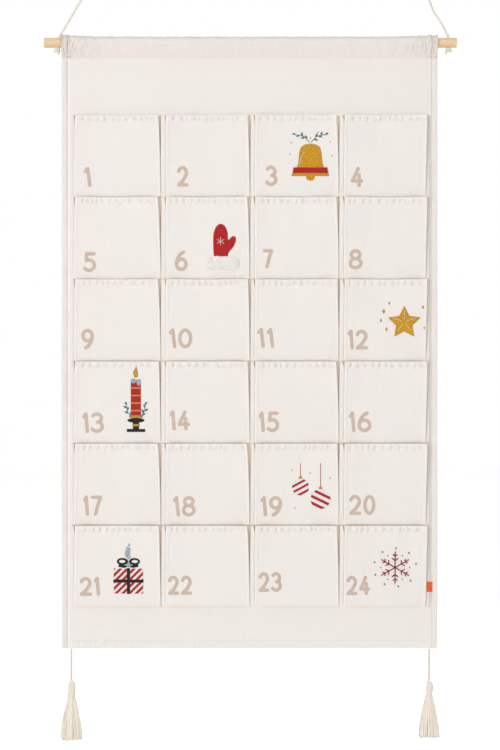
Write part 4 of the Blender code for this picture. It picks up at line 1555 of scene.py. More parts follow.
def node_outline(node: str) -> list[tuple[float, float]]:
    """Return the front outline of a flat CAD piece, as places across and up."""
    bm = bmesh.new()
    bm.from_mesh(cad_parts[node].data)
    bmesh.ops.remove_doubles(bm, verts=bm.verts, dist=1e-6)
    bmesh.ops.dissolve_limit(bm, angle_limit=radians(1.0), verts=bm.verts, edges=bm.edges)
    front = min(bm.faces, key=lambda face: face.normal.y * face.calc_area())
    outline = [(corner.vert.co.x, corner.vert.co.z) for corner in front.loops]
    bm.free()
    return outline


@dataclass
class Pocket:
    """One pocket's face, and the ways of sewing on it."""

    row: PocketRow
    column: int
    felt: float = 0.0012
    satin: float = 0.00055
    thread_lay: float = 0.0022
    stitch_inset: float = 0.0016
    stitch_pitch: float = 0.0034
    stitch_share: float = 0.72
    stitch_radius: float = 0.00035
    knot_steps: int = 24

    def drape(self, over: float = 0.0) -> Drape:
        """Return how far forward things lie that are sewn on the face, over other things."""
        return lambda x, z: self.row.face_depth(self.column, x, z) + CLOTH.canvas / 2 + over

    def depth(self, x: float, z: float, over: float = 0.0) -> float:
        """Return how far forward one place on the face lies."""
        return float(self.drape(over)(np.array([x]), np.array([z]))[0])

    def spot(self, column: float, row: float) -> Vector:
        """Return where a pixel falls on the face."""
        guess = VIEW.place(column, row, CLOTH.face_layer)
        depth = self.row.face_depth(self.column, np.array([guess.x]), np.array([guess.z]))
        return VIEW.place(column, row, float(depth[0]))

    def patch(
        self, name: str, shape: Field, middle: Vector, reach: float, finish: str, over: float = 0.0,
    ) -> None:
        """Add one satin-stitched shape.

        Args:
            name: the piece's name.
            shape: the shape's field.
            middle: a point near its middle.
            reach: how far it reaches from there.
            finish: the thread.
            over: what it lies on, above the cloth.
        """
        low, high = [(middle.x + way, middle.z + way) for way in (-reach, reach)]
        relief = Relief(shape, low, high, self.satin, self.satin * 1.6, 0.00042)
        add_piece(name, relief.build(name, self.drape(over)), finish)

    def threads(
        self, name: str, lines: Iterable[Sequence[Spot]], radius: float, finish: str,
        over: float = 0.0,
    ) -> None:
        """Add back-stitched lines of twisted thread.

        Args:
            name: the piece's name.
            lines: each line's points, across and up.
            radius: the thread's radius.
            finish: the thread.
            over: what it lies on, above the cloth.
        """
        strand = Strand(radius, sides=8, plies=2, twist=tau / self.thread_lay)
        parts = []
        for line in lines:
            flat = smooth_points([(x, 0.0, z) for x, z in line], 0.0005)
            x, z = np.array([(p.x, p.z) for p in flat]).T
            out = self.drape()(x, z) + radius * 0.6 + over
            parts.append(strand.rounded([Vector((a, -float(b), c)) for a, b, c in zip(x, out, z)]))
        add_piece(name, join(parts), finish)

    def knots(self, name: str, spots: Iterable[Spot], finish: str, size: float = 0.0011) -> None:
        """Add small knots, each of thread wound twice round.

        Args:
            name: the piece's name.
            spots: the knots' middles, across and up.
            finish: the thread.
            size: about half a knot's width.
        """
        reach = size * 0.55
        parts = []
        for x, z in spots:
            out = self.depth(x, z) + size * 0.45
            turns = []
            for step in range(self.knot_steps + 1):
                angle = tau * 2 * step / self.knot_steps
                rise = size * 0.35 * sin(pi * step / self.knot_steps)
                turns.append(Vector((x + reach * cos(angle), -out - rise, z + reach * sin(angle))))
            parts.append(Strand(size * 0.42, sides=6).rounded(turns))
        add_piece(name, join(parts), finish)

    def cut_out(self, name: str, node: str, finish: str, over: float = 0.0) -> None:
        """Add one felt cut-out where its CAD node lies.

        Args:
            name: the piece's name.
            node: its CAD node.
            finish: the felt.
            over: what it lies on, above the cloth.
        """
        outline = node_outline(node)
        corners = np.array(outline)
        low, high = corners.min(0), corners.max(0)
        relief = Relief.between(
            polygon(outline), low, high, self.felt, 0.0009, 0.0006, rough=0.00012)
        piece = add_piece(name, relief.build(name, self.drape(over)), finish, node)

    def edge_stitches(self, name: str, node: str, finish: str) -> None:
        """Sew round a felt piece's edge with small straight stitches.

        Args:
            name: the name of the piece that the stitches make.
            node: the felt piece's CAD node.
            finish: the thread.
        """
        outline = [Vector((x, 0.0, z)) for x, z in node_outline(node)]
        walk = []
        for before, after in zip(outline, outline[1:] + outline[:1]):
            steps = max(1, round((after - before).length / 0.0004))
            walk += [before.lerp(after, step / steps) for step in range(steps)]
        p = np.array([(v.x, v.z) for v in walk])
        relief = Relief(polygon(node_outline(node)), (0.0, 0.0), (1.0, 1.0), 0.0, 1.0)
        for _ in range(6):
            p = relief.towards_edge(p, self.stitch_inset)
        bm = bmesh.new()
        gone = 0.0
        start = p[0]
        for a, b in zip(p, p[1:]):
            gone += float(np.linalg.norm(b - a))
            if gone >= self.stitch_pitch:
                middle, run = (start + b) / 2, b - start
                length = float(np.linalg.norm(run)) * self.stitch_share
                out = self.depth(*middle, self.felt)
                add_bead(bm, middle, out, run, length, self.stitch_radius)
                start = b
                gone = 0.0
            elif gone < 0.0002:
                start = b
        add_piece(name, bm, finish)


@dataclass
class Lettering:
    """The plain numbers 1 to 24, each in rounded strokes of one width."""

    half: float = 0.00252
    height: float = 0.00032
    edge: float = 0.0009
    narrow: float = 0.52
    gap: float = 0.0026

    # The first and last column and the first and last row of each number in the photograph
    PIXELS = (
        (83.6, 91.5, 167.0, 187.0), (177.0, 188.4, 166.0, 186.5),
        (265.5, 277.5, 165.5, 186.0), (350.7, 363.3, 167.0, 187.0),
        (83.4, 96.0, 252.0, 272.0), (174.8, 187.8, 250.5, 271.0),
        (262.7, 273.4, 248.8, 268.3), (348.4, 362.7, 249.2, 269.4),
        (81.2, 93.9, 328.7, 349.5), (168.8, 192.4, 328.3, 348.3),
        (257.2, 274.2, 327.9, 348.0), (347.4, 367.9, 329.6, 349.4),
        (82.2, 104.0, 412.3, 432.9), (169.4, 189.9, 410.4, 430.4),
        (258.5, 279.2, 411.5, 432.2), (348.4, 371.4, 411.5, 432.2),
        (83.0, 102.4, 495.5, 515.7), (172.7, 195.7, 496.0, 516.6),
        (260.4, 282.1, 496.1, 516.5), (349.1, 375.5, 494.8, 515.0),
        (79.8, 100.0, 576.7, 596.0), (168.0, 192.0, 575.5, 595.0),
        (258.5, 282.0, 572.0, 592.0), (346.5, 370.0, 575.7, 595.3),
    )

    # Each digit's strokes in a box of unit width and height. A stroke runs through points and
    # along arcs, each by its centre, its two radii and its two angles in degrees.
    STROKES = {
        "0": [[(0.5, 0.5, 0.5, 0.5, 0, 360)]],
        "1": [[(0.0, 0.84), (0.55, 1.0), (1.0, 0.0)]],
        "2": [
            [(0.46, 0.70, 0.50, 0.30, 160, -25), (0.55, 0.26), (0.0, 0.0)],
            [(0.0, 0.0), (1.0, 0.0)]],
        "3": [[(0.42, 0.76, 0.48, 0.24, 145, -80)], [(0.44, 0.27, 0.56, 0.27, 80, -148)]],
        "4": [[(0.62, 1.0), (0.0, 0.27), (1.0, 0.27)], [(0.72, 0.62), (0.74, 0.0)]],
        "5": [
            [(0.95, 1.0), (0.18, 1.0), (0.12, 0.57)],
            [(0.12, 0.57), (0.42, 0.31, 0.58, 0.31, 118, -142)]],
        "6": [[(1.06, 0.30, 1.06, 0.74, 108, 180)], [(0.5, 0.30, 0.5, 0.30, 0, 360)]],
        "7": [[(0.0, 1.0), (1.0, 1.0), (0.62, 0.5), (0.36, 0.0)]],
        "8": [[(0.5, 0.77, 0.40, 0.23, 0, 360)], [(0.5, 0.27, 0.5, 0.27, 0, 360)]],
    }

    @staticmethod
    def arc(x: float, z: float, wide: float, tall: float, start: float, end: float) -> list[Spot]:
        """Return points on an arc, with its angles in degrees."""
        steps = max(3, int(abs(end - start) / 12))
        angles = [radians(start + (end - start) * step / steps) for step in range(steps + 1)]
        return [(x + wide * cos(angle), z + tall * sin(angle)) for angle in angles]

    def strokes(self, digit: str) -> list[list[Spot]]:
        """Return a digit's strokes as points; a 9 is a turned 6."""
        if digit == "9":
            return [[(1.0 - x, 1.0 - z) for x, z in line] for line in self.strokes("6")]
        return [
            [spot for item in line for spot in ([item] if len(item) == 2 else self.arc(*item))]
            for line in self.STROKES[digit]]

    def number_field(self, text: str, low: Vector, high: Vector) -> Field:
        """Return the field of one number between two corners.

        Args:
            text: the number's digits.
            low: its lower left corner.
            high: its upper right corner.

        Returns:
            The field of all its strokes.
        """
        shares = [self.narrow if digit == "1" else 1.0 for digit in text]
        width = high.x - low.x - self.gap * (len(text) - 1)
        tall = high.z - low.z - 2 * self.half
        fields = []
        left = low.x
        for digit, share in zip(text, shares):
            own = width * share / sum(shares)
            wide = own - 2 * self.half
            for line in self.strokes(digit):
                points = [
                    (left + self.half + wide * x, low.z + self.half + tall * z) for x, z in line]
                fields.append(stroke(points, self.half))
            left += own + self.gap
        return either(*fields)

    def build(self, pockets: Sequence[Pocket]) -> None:
        """Lay each number on its pocket."""
        for number, (pocket, pixels) in enumerate(zip(pockets, self.PIXELS), 1):
            left, right, top, bottom = pixels
            depth = CLOTH.face_layer + pocket.row.stands[pocket.column] * 0.3
            low, high = VIEW.place(left, bottom, depth), VIEW.place(right, top, depth)
            shape = self.number_field(str(number), low, high)
            relief = Relief.between(shape, low.xz, high.xz, self.height, self.edge)
            add_piece(f"number_{number}", relief.build("number", pocket.drape()), "taupe_thread")


@dataclass
class Appliques:
    """Felt cut-outs and embroidery on seven of the pockets."""

    pockets: Sequence[Pocket]
    curls: int = 300
    curl_steps: int = 10
    hands: tuple[float, float] = (-1.0, 1.0)

    def build(self) -> None:
        """Add the seven motifs."""
        for number, motif in (
            (3, self.bell), (6, self.mitten), (12, self.star), (13, self.candle),
            (19, self.baubles), (21, self.parcel), (24, self.snowflake)):
            motif(self.pockets[number - 1])

    @staticmethod
    def sprig(root: Vector, tip: Vector, bend: float, leaves: int) -> tuple[list[Spot], Field]:
        """Return a stem's line and the field of its leaves.

        Args:
            root: the stem's foot.
            tip: its other end.
            bend: how far it bows aside.
            leaves: the number of its leaves, of which the last is at the tip.

        Returns:
            The stem's points, across and up, and the leaves' field.
        """
        run = tip - root
        side = Vector((-run.z, 0.0, run.x)).normalized()
        middle = (root + tip) / 2 + side * bend
        stem = smooth_points([root, middle, tip], 0.002)
        fields = []
        for place in range(leaves):
            share = 0.25 + 0.75 * place / max(1, leaves - 1)
            at = stem[min(len(stem) - 1, int(share * (len(stem) - 1)))]
            hand = 0.0 if place == leaves - 1 else 1.0 if place % 2 else -1.0
            way = (run.normalized() + side * hand * 0.9).normalized()
            size = 0.0068 * (1.0 - 0.25 * share)
            points = [at, at + way * size * 0.5, at + way * size]
            fields.append(stroke([(p.x, p.z) for p in points], [0.0005, 0.0017, 0.0004]))
        return [(p.x, p.z) for p in (root, middle, tip)], either(*fields)

    def bell(self, pocket: Pocket) -> None:
        """Add the bell, its band, two sprigs and knots."""
        pocket.cut_out("bell", "felt_bell", "mustard_felt")
        pocket.cut_out("bell_band_felt", "bell_band", "red_felt", pocket.felt)
        pocket.edge_stitches("bell_stitches", "felt_bell", "gold_thread")
        low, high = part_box("felt_bell")
        top = Vector(((low.x + high.x) / 2, 0.0, high.z))
        stems, leaves = zip(*[
            self.sprig(
                top + Vector((hand * 0.001, 0.0, 0.0012)),
                top + Vector((hand * 0.0215, 0.0, 0.0125)), hand * 0.0035, 5)
            for hand in self.hands])
        pocket.threads("bell_stems", stems, 0.0006, "teal_thread")
        pocket.patch("bell_leaves", either(*leaves), top, 0.032, "teal_thread")
        spots = [(top.x + dx, top.z + dz) for dx, dz in (
            (-0.028, 0.001), (0.029, 0.002), (-0.012, 0.015), (0.011, 0.016), (0.0, 0.0075),
            (-0.030, -0.016), (0.031, -0.018))]
        pocket.knots("bell_knots", spots, "gold_thread")
        shine = [
            (low.x + dx, low.z + dz)
            for dx, dz in ((0.012, 0.020), (0.0145, 0.034), (0.019, 0.042))]
        pocket.threads("bell_shine", [shine], 0.0006, "white_thread", pocket.felt)

    def mitten(self, pocket: Pocket) -> None:
        """Add the mitten and its looped cuff."""
        pocket.cut_out("mitten", "felt_mitten", "red_felt")
        pocket.edge_stitches("mitten_stitches", "felt_mitten", "red_thread")
        low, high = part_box("mitten_cuff")
        shape = polygon(node_outline("mitten_cuff"))
        base = Relief.between(shape, low.xz, high.xz, 0.0026, 0.0026, 0.0008)
        mesh = base.build("cuff", pocket.drape())
        cuff = add_piece("cuff_base", mesh, "white_fleece", "mitten_cuff")
        chance = random.Random(21)
        parts = []
        while len(parts) < self.curls:
            x, z = chance.uniform(low.x, high.x), chance.uniform(low.z, high.z)
            away = float(shape(np.array([[x, z]]))[0])
            if away <= 0.0008:
                rise = 0.0012 + 0.0016 * min(1.0, max(0.0, -away / 0.004))
                parts.append(self.curl(Vector((x, -(pocket.depth(x, z) + rise), z)), chance))
        add_piece("cuff_curls", join(parts), "white_fleece")
        middle, flake = (low.x + high.x) / 2 - 0.003, high.z + 0.022
        arms = []
        for turn in range(3):
            angle = pi * turn / 3 + pi / 2
            dx, dz = 0.006 * cos(angle), 0.006 * sin(angle)
            arms.append([(middle - dx, flake - dz), (middle, flake), (middle + dx, flake + dz)])
        pocket.threads("mitten_flake", arms, 0.0005, "white_thread", pocket.felt)

    def curl(self, centre: Vector, chance: random.Random) -> BMesh:
        """Return one small loop of fleece yarn."""
        reach = chance.uniform(0.0009, 0.0018)
        lean = Matrix.Rotation(chance.uniform(0, tau), 3, "Y")
        tilt = lean @ Matrix.Rotation(chance.uniform(-0.9, 0.9), 3, "X")
        turns = []
        for step in range(self.curl_steps + 1):
            angle = tau * 1.15 * step / self.curl_steps
            rise = 0.0008 * step / self.curl_steps
            local = Vector((reach * cos(angle), -rise, reach * sin(angle)))
            turns.append(centre + tilt @ local)
        return Strand(chance.uniform(0.00042, 0.00062), sides=5).rounded(turns)

    def star(self, pocket: Pocket) -> None:
        """Add the star and small gold lozenges."""
        pocket.cut_out("star", "felt_star", "mustard_felt")
        pocket.edge_stitches("star_stitches", "felt_star", "gold_thread")
        low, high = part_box("felt_star")
        middle = (low + high) / 2
        rays = []
        for turn in range(5):
            angle = pi / 2 + tau * turn / 5
            rays.append([
                (middle.x + reach * cos(angle), middle.z - 0.001 + reach * sin(angle))
                for reach in (0.004, 0.010, 0.016)])
        pocket.threads("star_rays", rays, 0.00045, "white_thread", pocket.felt)
        lozenges = []
        for dx, dz, size in (
            (-0.030, 0.014, 0.0026), (-0.034, 0.001, 0.0018), (-0.026, -0.012, 0.0022),
            (-0.022, 0.026, 0.0018), (0.027, 0.020, 0.0020), (0.029, -0.010, 0.0016)):
            x, z, tall = middle.x + dx, middle.z + dz, size * 1.5
            lozenges.append(polygon(((x, z + tall), (x + size, z), (x, z - tall), (x - size, z))))
        pocket.patch("star_lozenges", either(*lozenges), middle, 0.040, "gold_thread")

    def candle(self, pocket: Pocket) -> None:
        """Add the tall candle in its holder."""
        foot = pocket.spot(136.0, 432.0)
        x, z = foot.x, foot.z
        middle = foot + Vector((0.0, 0.0, 0.048))
        base = either(
            block(foot, -0.0135, 0.0, 0.0135, 0.0045), block(foot, -0.0045, 0.0045, 0.0045, 0.0145),
            disc((x, z + 0.0170), (0.0125, 0.0036)))
        dish = either(
            block(foot, -0.0100, 0.0205, 0.0100, 0.0245), disc((x, z + 0.0100), (0.0062, 0.0020)))
        bands = either(*[
            block(foot, -0.0078, 0.030 + 0.011 * n, 0.0078, 0.0325 + 0.011 * n) for n in range(4)])
        drip = either(
            disc((x - 0.0035, z + 0.0745), (0.0042, 0.0036)),
            disc((x + 0.0042, z + 0.0725), (0.0034, 0.0052)))
        flame = stroke(
            [(x, z + 0.082), (x - 0.0004, z + 0.0865), (x + 0.0008, z + 0.0960)],
            [0.0030, 0.0038, 0.0004])
        for name, shape, finish, over in (
            ("base", base, "black_thread", 0.0), ("dish", dish, "gold_thread", 0.0002),
            ("stick", block(foot, -0.0075, 0.0245, 0.0075, 0.0760), "red_thread", 0.0),
            ("bands", bands, "gold_thread", 0.0003), ("drip", drip, "blue_thread", 0.0003),
            ("flame", flame, "gold_thread", 0.0)):
            pocket.patch(f"candle_{name}", shape, middle, 0.052, finish, over)
        roots = [(hand, foot + Vector((hand * 0.005, 0.0, 0.0215))) for hand in self.hands]
        stems, leaves = zip(*[
            self.sprig(root, root + Vector((hand * 0.0085, 0.0, 0.018)), -hand * 0.003, 5)
            for hand, root in roots])
        pocket.threads("candle_stems", stems, 0.0005, "teal_thread", 0.0004)
        pocket.patch("candle_leaves", either(*leaves), middle, 0.052, "teal_thread", 0.0003)

    def baubles(self, pocket: Pocket) -> None:
        """Add two striped baubles on threads."""
        for size, column, row, radius, tilt in (
            ("small", 300.5, 487.0, 0.0125, 0.5), ("large", 320.5, 499.0, 0.0148, -0.45)):
            name = f"bauble_{size}"
            centre = pocket.spot(column, row)
            x, z, rim, reach = centre.x, centre.z, centre.z + radius, radius + 0.001
            pocket.patch(name, disc((x, z), (radius, radius)), centre, reach, "white_thread")
            bands = []
            across = Vector((cos(tilt), 0.0, sin(tilt)))
            for step in (-0.72, -0.12, 0.48):
                way = Vector((-across.z, 0.0, across.x)) * (radius * step)
                ends = (centre + way - across * radius * 1.2, centre + way + across * radius * 1.2)
                bands.append(stroke([(p.x, p.z) for p in ends], radius * 0.155))
            striped = both(disc((x, z), (radius * 0.985, radius * 0.985)), either(*bands))
            pocket.patch(f"{name}_bands", striped, centre, reach, "red_thread", 0.0003)
            cap = polygon((
                (x - 0.0028, rim - 0.0005), (x + 0.0028, rim - 0.0005), (x + 0.0022, rim + 0.0032),
                (x - 0.0022, rim + 0.0032)))
            pocket.patch(f"{name}_cap", cap, Vector((x, 0.0, rim)), 0.006, "gold_thread", 0.0003)
            top = pocket.spot(column, 463.0)
            string = [(x, rim + 0.003), ((x * 2 + top.x) / 3, (rim + top.z) / 2), (top.x, top.z)]
            pocket.threads(f"{name}_string", [string], 0.0005, "red_thread")
        spots = [
            pocket.spot(*pixel)
            for pixel in ((292.0, 470.0), (310.0, 473.0), (330.0, 478.0), (295.0, 508.0))]
        pocket.knots("bauble_knots", [(p.x, p.z) for p in spots], "gold_thread")

    def parcel(self, pocket: Pocket) -> None:
        """Add the striped parcel with its bow."""
        centre = pocket.spot(128.5, 581.0)
        x, z = centre.x, centre.z
        wide, tall, band = 0.0220, 0.0190, 0.0024
        stripes = either(*[
            stroke(((x + shift - 0.024, z - 0.024), (x + shift + 0.024, z + 0.024)), 0.0021)
            for shift in (step * 0.0098 for step in range(-4, 5))])
        inside = block(centre, -wide * 0.98, -tall * 0.98, wide * 0.98, tall * 0.98)
        ribbon = either(
            block(centre, -band, -tall, band, tall), block(centre, -wide, -band, wide, band))
        for name, shape, finish, over in (
            ("paper", block(centre, -wide, -tall, wide, tall), "white_thread", 0.0),
            ("stripes", both(inside, stripes), "red_thread", 0.0003),
            ("ribbon", ribbon, "black_thread", 0.0006)):
            pocket.patch(f"parcel_{name}", shape, centre, wide + 0.001, finish, over)
        knot_z = z + tall + 0.004
        knot = Vector((x, 0.0, knot_z))
        loops = []
        for hand in self.hands:
            loops.append(without(
                disc((x + hand * 0.0088, knot_z + 0.0055), (0.0082, 0.0052)),
                disc((x + hand * 0.0092, knot_z + 0.0056), (0.0046, 0.0022))))
            tail = [
                (x + hand * dx, knot_z - dz)
                for dx, dz in ((0.0, 0.0), (0.006, 0.002), (0.0125, 0.0005))]
            loops.append(stroke(tail, (0.0014, 0.0018, 0.0022)))
        pocket.patch("parcel_bow", either(*loops), knot, 0.020, "black_thread", 0.0002)
        wound = disc((x, knot_z), (0.0034, 0.0030))
        pocket.patch("parcel_knot", wound, knot, 0.005, "blue_thread", 0.0006)
        root = Vector((x, 0.0, knot_z + 0.003))
        stem, leaves = self.sprig(root, root + Vector((0.001, 0.0, 0.024)), 0.002, 9)
        pocket.threads("parcel_stem", [stem], 0.0005, "blue_thread")
        middle = root + Vector((0.0, 0.0, 0.014))
        pocket.patch("parcel_leaves", leaves, middle, 0.020, "blue_thread")

    def snowflake(self, pocket: Pocket) -> None:
        """Add the six-armed thread snowflake and its knots."""
        centre = pocket.spot(395.0, 567.5)
        x, z = centre.x, centre.z
        arms = []
        for turn in range(6):
            angle = pi / 2 + tau * turn / 6
            way = Vector((cos(angle), 0.0, sin(angle)))
            arms.append([(x + way.x * reach, z + way.z * reach) for reach in (0.0, 0.012, 0.0235)])
            for start, size in ((0.0100, 0.0062), (0.0165, 0.0045)):
                root = Vector((x, 0.0, z)) + way * start
                for hand in self.hands:
                    branch = angle + hand * radians(52.0)
                    tip = root + Vector((cos(branch), 0.0, sin(branch))) * size
                    arms.append([(p.x, p.z) for p in (root, (root + tip) / 2, tip)])
        pocket.threads("snowflake_arms", arms, 0.00090, "red_thread")
        for name, wide, tall, angles, size in (
            ("teal", 0.031, 0.028, np.linspace(0.2, 6.2, 10), 0.0014),
            ("gold", 0.021, 0.020, np.linspace(0.0, tau, 7), 0.0012)):
            spots = [(x + wide * cos(angle), z + tall * sin(angle)) for angle in angles[:-1]]
            pocket.knots(f"snowflake_{name}_knots", spots, f"{name}_thread", size)


@dataclass
class Label:
    """The bare fabric tab at the lowest strip's right end."""

    node: str = "side_label"
    steps: int = 10
    tucked: float = 0.0017
    turned_in: float = 0.0008
    raised: float = 0.0006
    thickness: float = 0.0006

    def build(self) -> None:
        """Build the tab, folded over the strip's end."""
        low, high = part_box(self.node)
        on_strip = CLOTH.first_layer + CLOTH.canvas / 2 + CLOTH.air + self.raised
        on_cloth = CLOTH.canvas / 2 + CLOTH.air + self.raised
        width, tall = high.x - low.x, high.z - low.z

        def place(column: Array, row: Array) -> tuple[Array, Array]:
            """Return the folded and the flat place of the grid's crossings."""
            across = column / (self.steps * 2)
            up = row / self.steps
            x = low.x - self.tucked + (width - self.turned_in) * across
            z = low.z + tall * up + 0.0003 * np.sin(across * 5.0)
            sink = step_up(across, 0.50, 0.90)
            y = -(on_strip * (1.0 - sink) + on_cloth * sink) - 0.0006 * step_up(across, 0.6, 1.0)
            y = y - 0.0004 * np.sin(np.pi * across) * np.sin(np.pi * up)
            return np.stack([x, y, z], 1), np.stack([width * across, tall * up], 1)

        mesh = cloth_mesh("label", self.steps * 2, self.steps, place)
        piece = add_piece("fabric_tab", mesh, "label_tape", self.node)
        add_thickness(piece, self.thickness, -1.0)


@dataclass
class HangingCord:
    """One strand of the hanging cord with its stopper knot, loop knot and loop."""

    side: Side
    route: Sequence[Spot]
    radius: float = 0.0014
    lay: float = 0.0100
    knot_length: float = 0.0105
    stopper_length: float = 0.0062
    knot_reach: float = 0.0046
    stopper_reach: float = 0.0042
    loop_length: float = 0.0170
    loop_width: float = 0.0105
    knot_steps: int = 72

    LOOP_SHARES = (
        (-0.17, 0.02), (-0.22, 0.18), (-0.37, 0.44), (-0.44, 0.66), (-0.29, 0.88), (0.0, 1.0),
        (0.29, 0.88), (0.44, 0.66), (0.37, 0.44), (0.22, 0.18), (0.17, 0.02),
    )
    TAILS = {
        Side.LEFT: ((-0.0050, 0.0006, -0.0034), (0.0014, -0.0008, -0.0064)),
        Side.RIGHT: ((-0.0046, -0.0008, -0.0056), (0.0046, 0.0006, -0.0028)),
    }

    def rope(self, path: Sequence[Vector], shares: Sequence[float] | None = None) -> BMesh:
        """Return three-ply twisted cord along a path."""
        section = Strand(self.radius, sides=18, plies=3, ply_depth=0.18, twist=tau / self.lay)
        return section.sweep(path, shares)

    def add(self, name: str, shape: BMesh, node: str) -> Object:
        """Add one piece of cord at this side."""
        side = self.side.value
        return add_piece(f"{name}_{side}", shape, "cord", f"{node}_{side}", Body.ROD.value)

    def build(self) -> None:
        """Build the strand and what is tied in it."""
        path = smooth_points(self.route, 0.0008)
        strand = self.add("cord_strand", self.rope(path), "hanging_cord")
        down = Vector((0.0, 0.0, -1.0))
        tied = self.knot(path[0], down, self.stopper_length, self.TAILS[self.side])
        stopper = self.add("stopper", tied, "stopper_knot")
        along = (path[-1] - path[-2]).normalized()
        base = path[-1] + along * CLOTH.air
        knot = self.add("loop_tie", self.knot(base, along, self.knot_length), "loop_knot")
        foot = base + along * (self.knot_length + CLOTH.air)
        across = Vector((along.z, 0.0, -along.x))
        loop_path = smooth_points([
            foot + across * (self.loop_width * over) + along * (self.loop_length * up)
            for over, up in self.LOOP_SHARES], 0.0007)
        loop = self.add("cord_loop", self.rope(loop_path), "hanging_loop")
        route_length(path)
        2 * self.radius
        route_length(loop_path)
        2 * self.radius

    def knot(self, base: Vector, along: Vector, length: float, tails: Sequence[Spot] = ()) -> BMesh:
        """Return one overhand knot, pulled tight.

        Args:
            base: where it starts on the cord.
            along: the way in which it runs.
            length: its length.
            tails: the ends of its two short tails, from its middle.

        Returns:
            The knot.
        """
        turn = along.to_track_quat("Z", "X")
        middle = base + along * (length / 2)
        scale = ((self.stopper_reach if tails else self.knot_reach) - self.radius) / 3.0
        tall = length / 2 - self.radius * 0.8
        points = []
        for step in range(self.knot_steps + 1):
            angle = tau * step / self.knot_steps
            local = Vector((
                scale * (sin(angle) + 2 * sin(2 * angle)),
                scale * (cos(angle) - 2 * cos(2 * angle)), -tall * sin(3 * angle)))
            points.append(middle + turn @ local)
        parts = [self.rope(points)]
        for tail in tails:
            end = middle + Vector(tail)
            bend = middle.lerp(end, 0.5) + Vector((tail[0] * 0.08, 0.0, 0.0004))
            path = smooth_points([middle, bend, end], 0.0007)
            parts.append(self.rope(path, [1.0] * (len(path) - 3) + [1.02, 1.05, 1.12]))
        return join(parts)


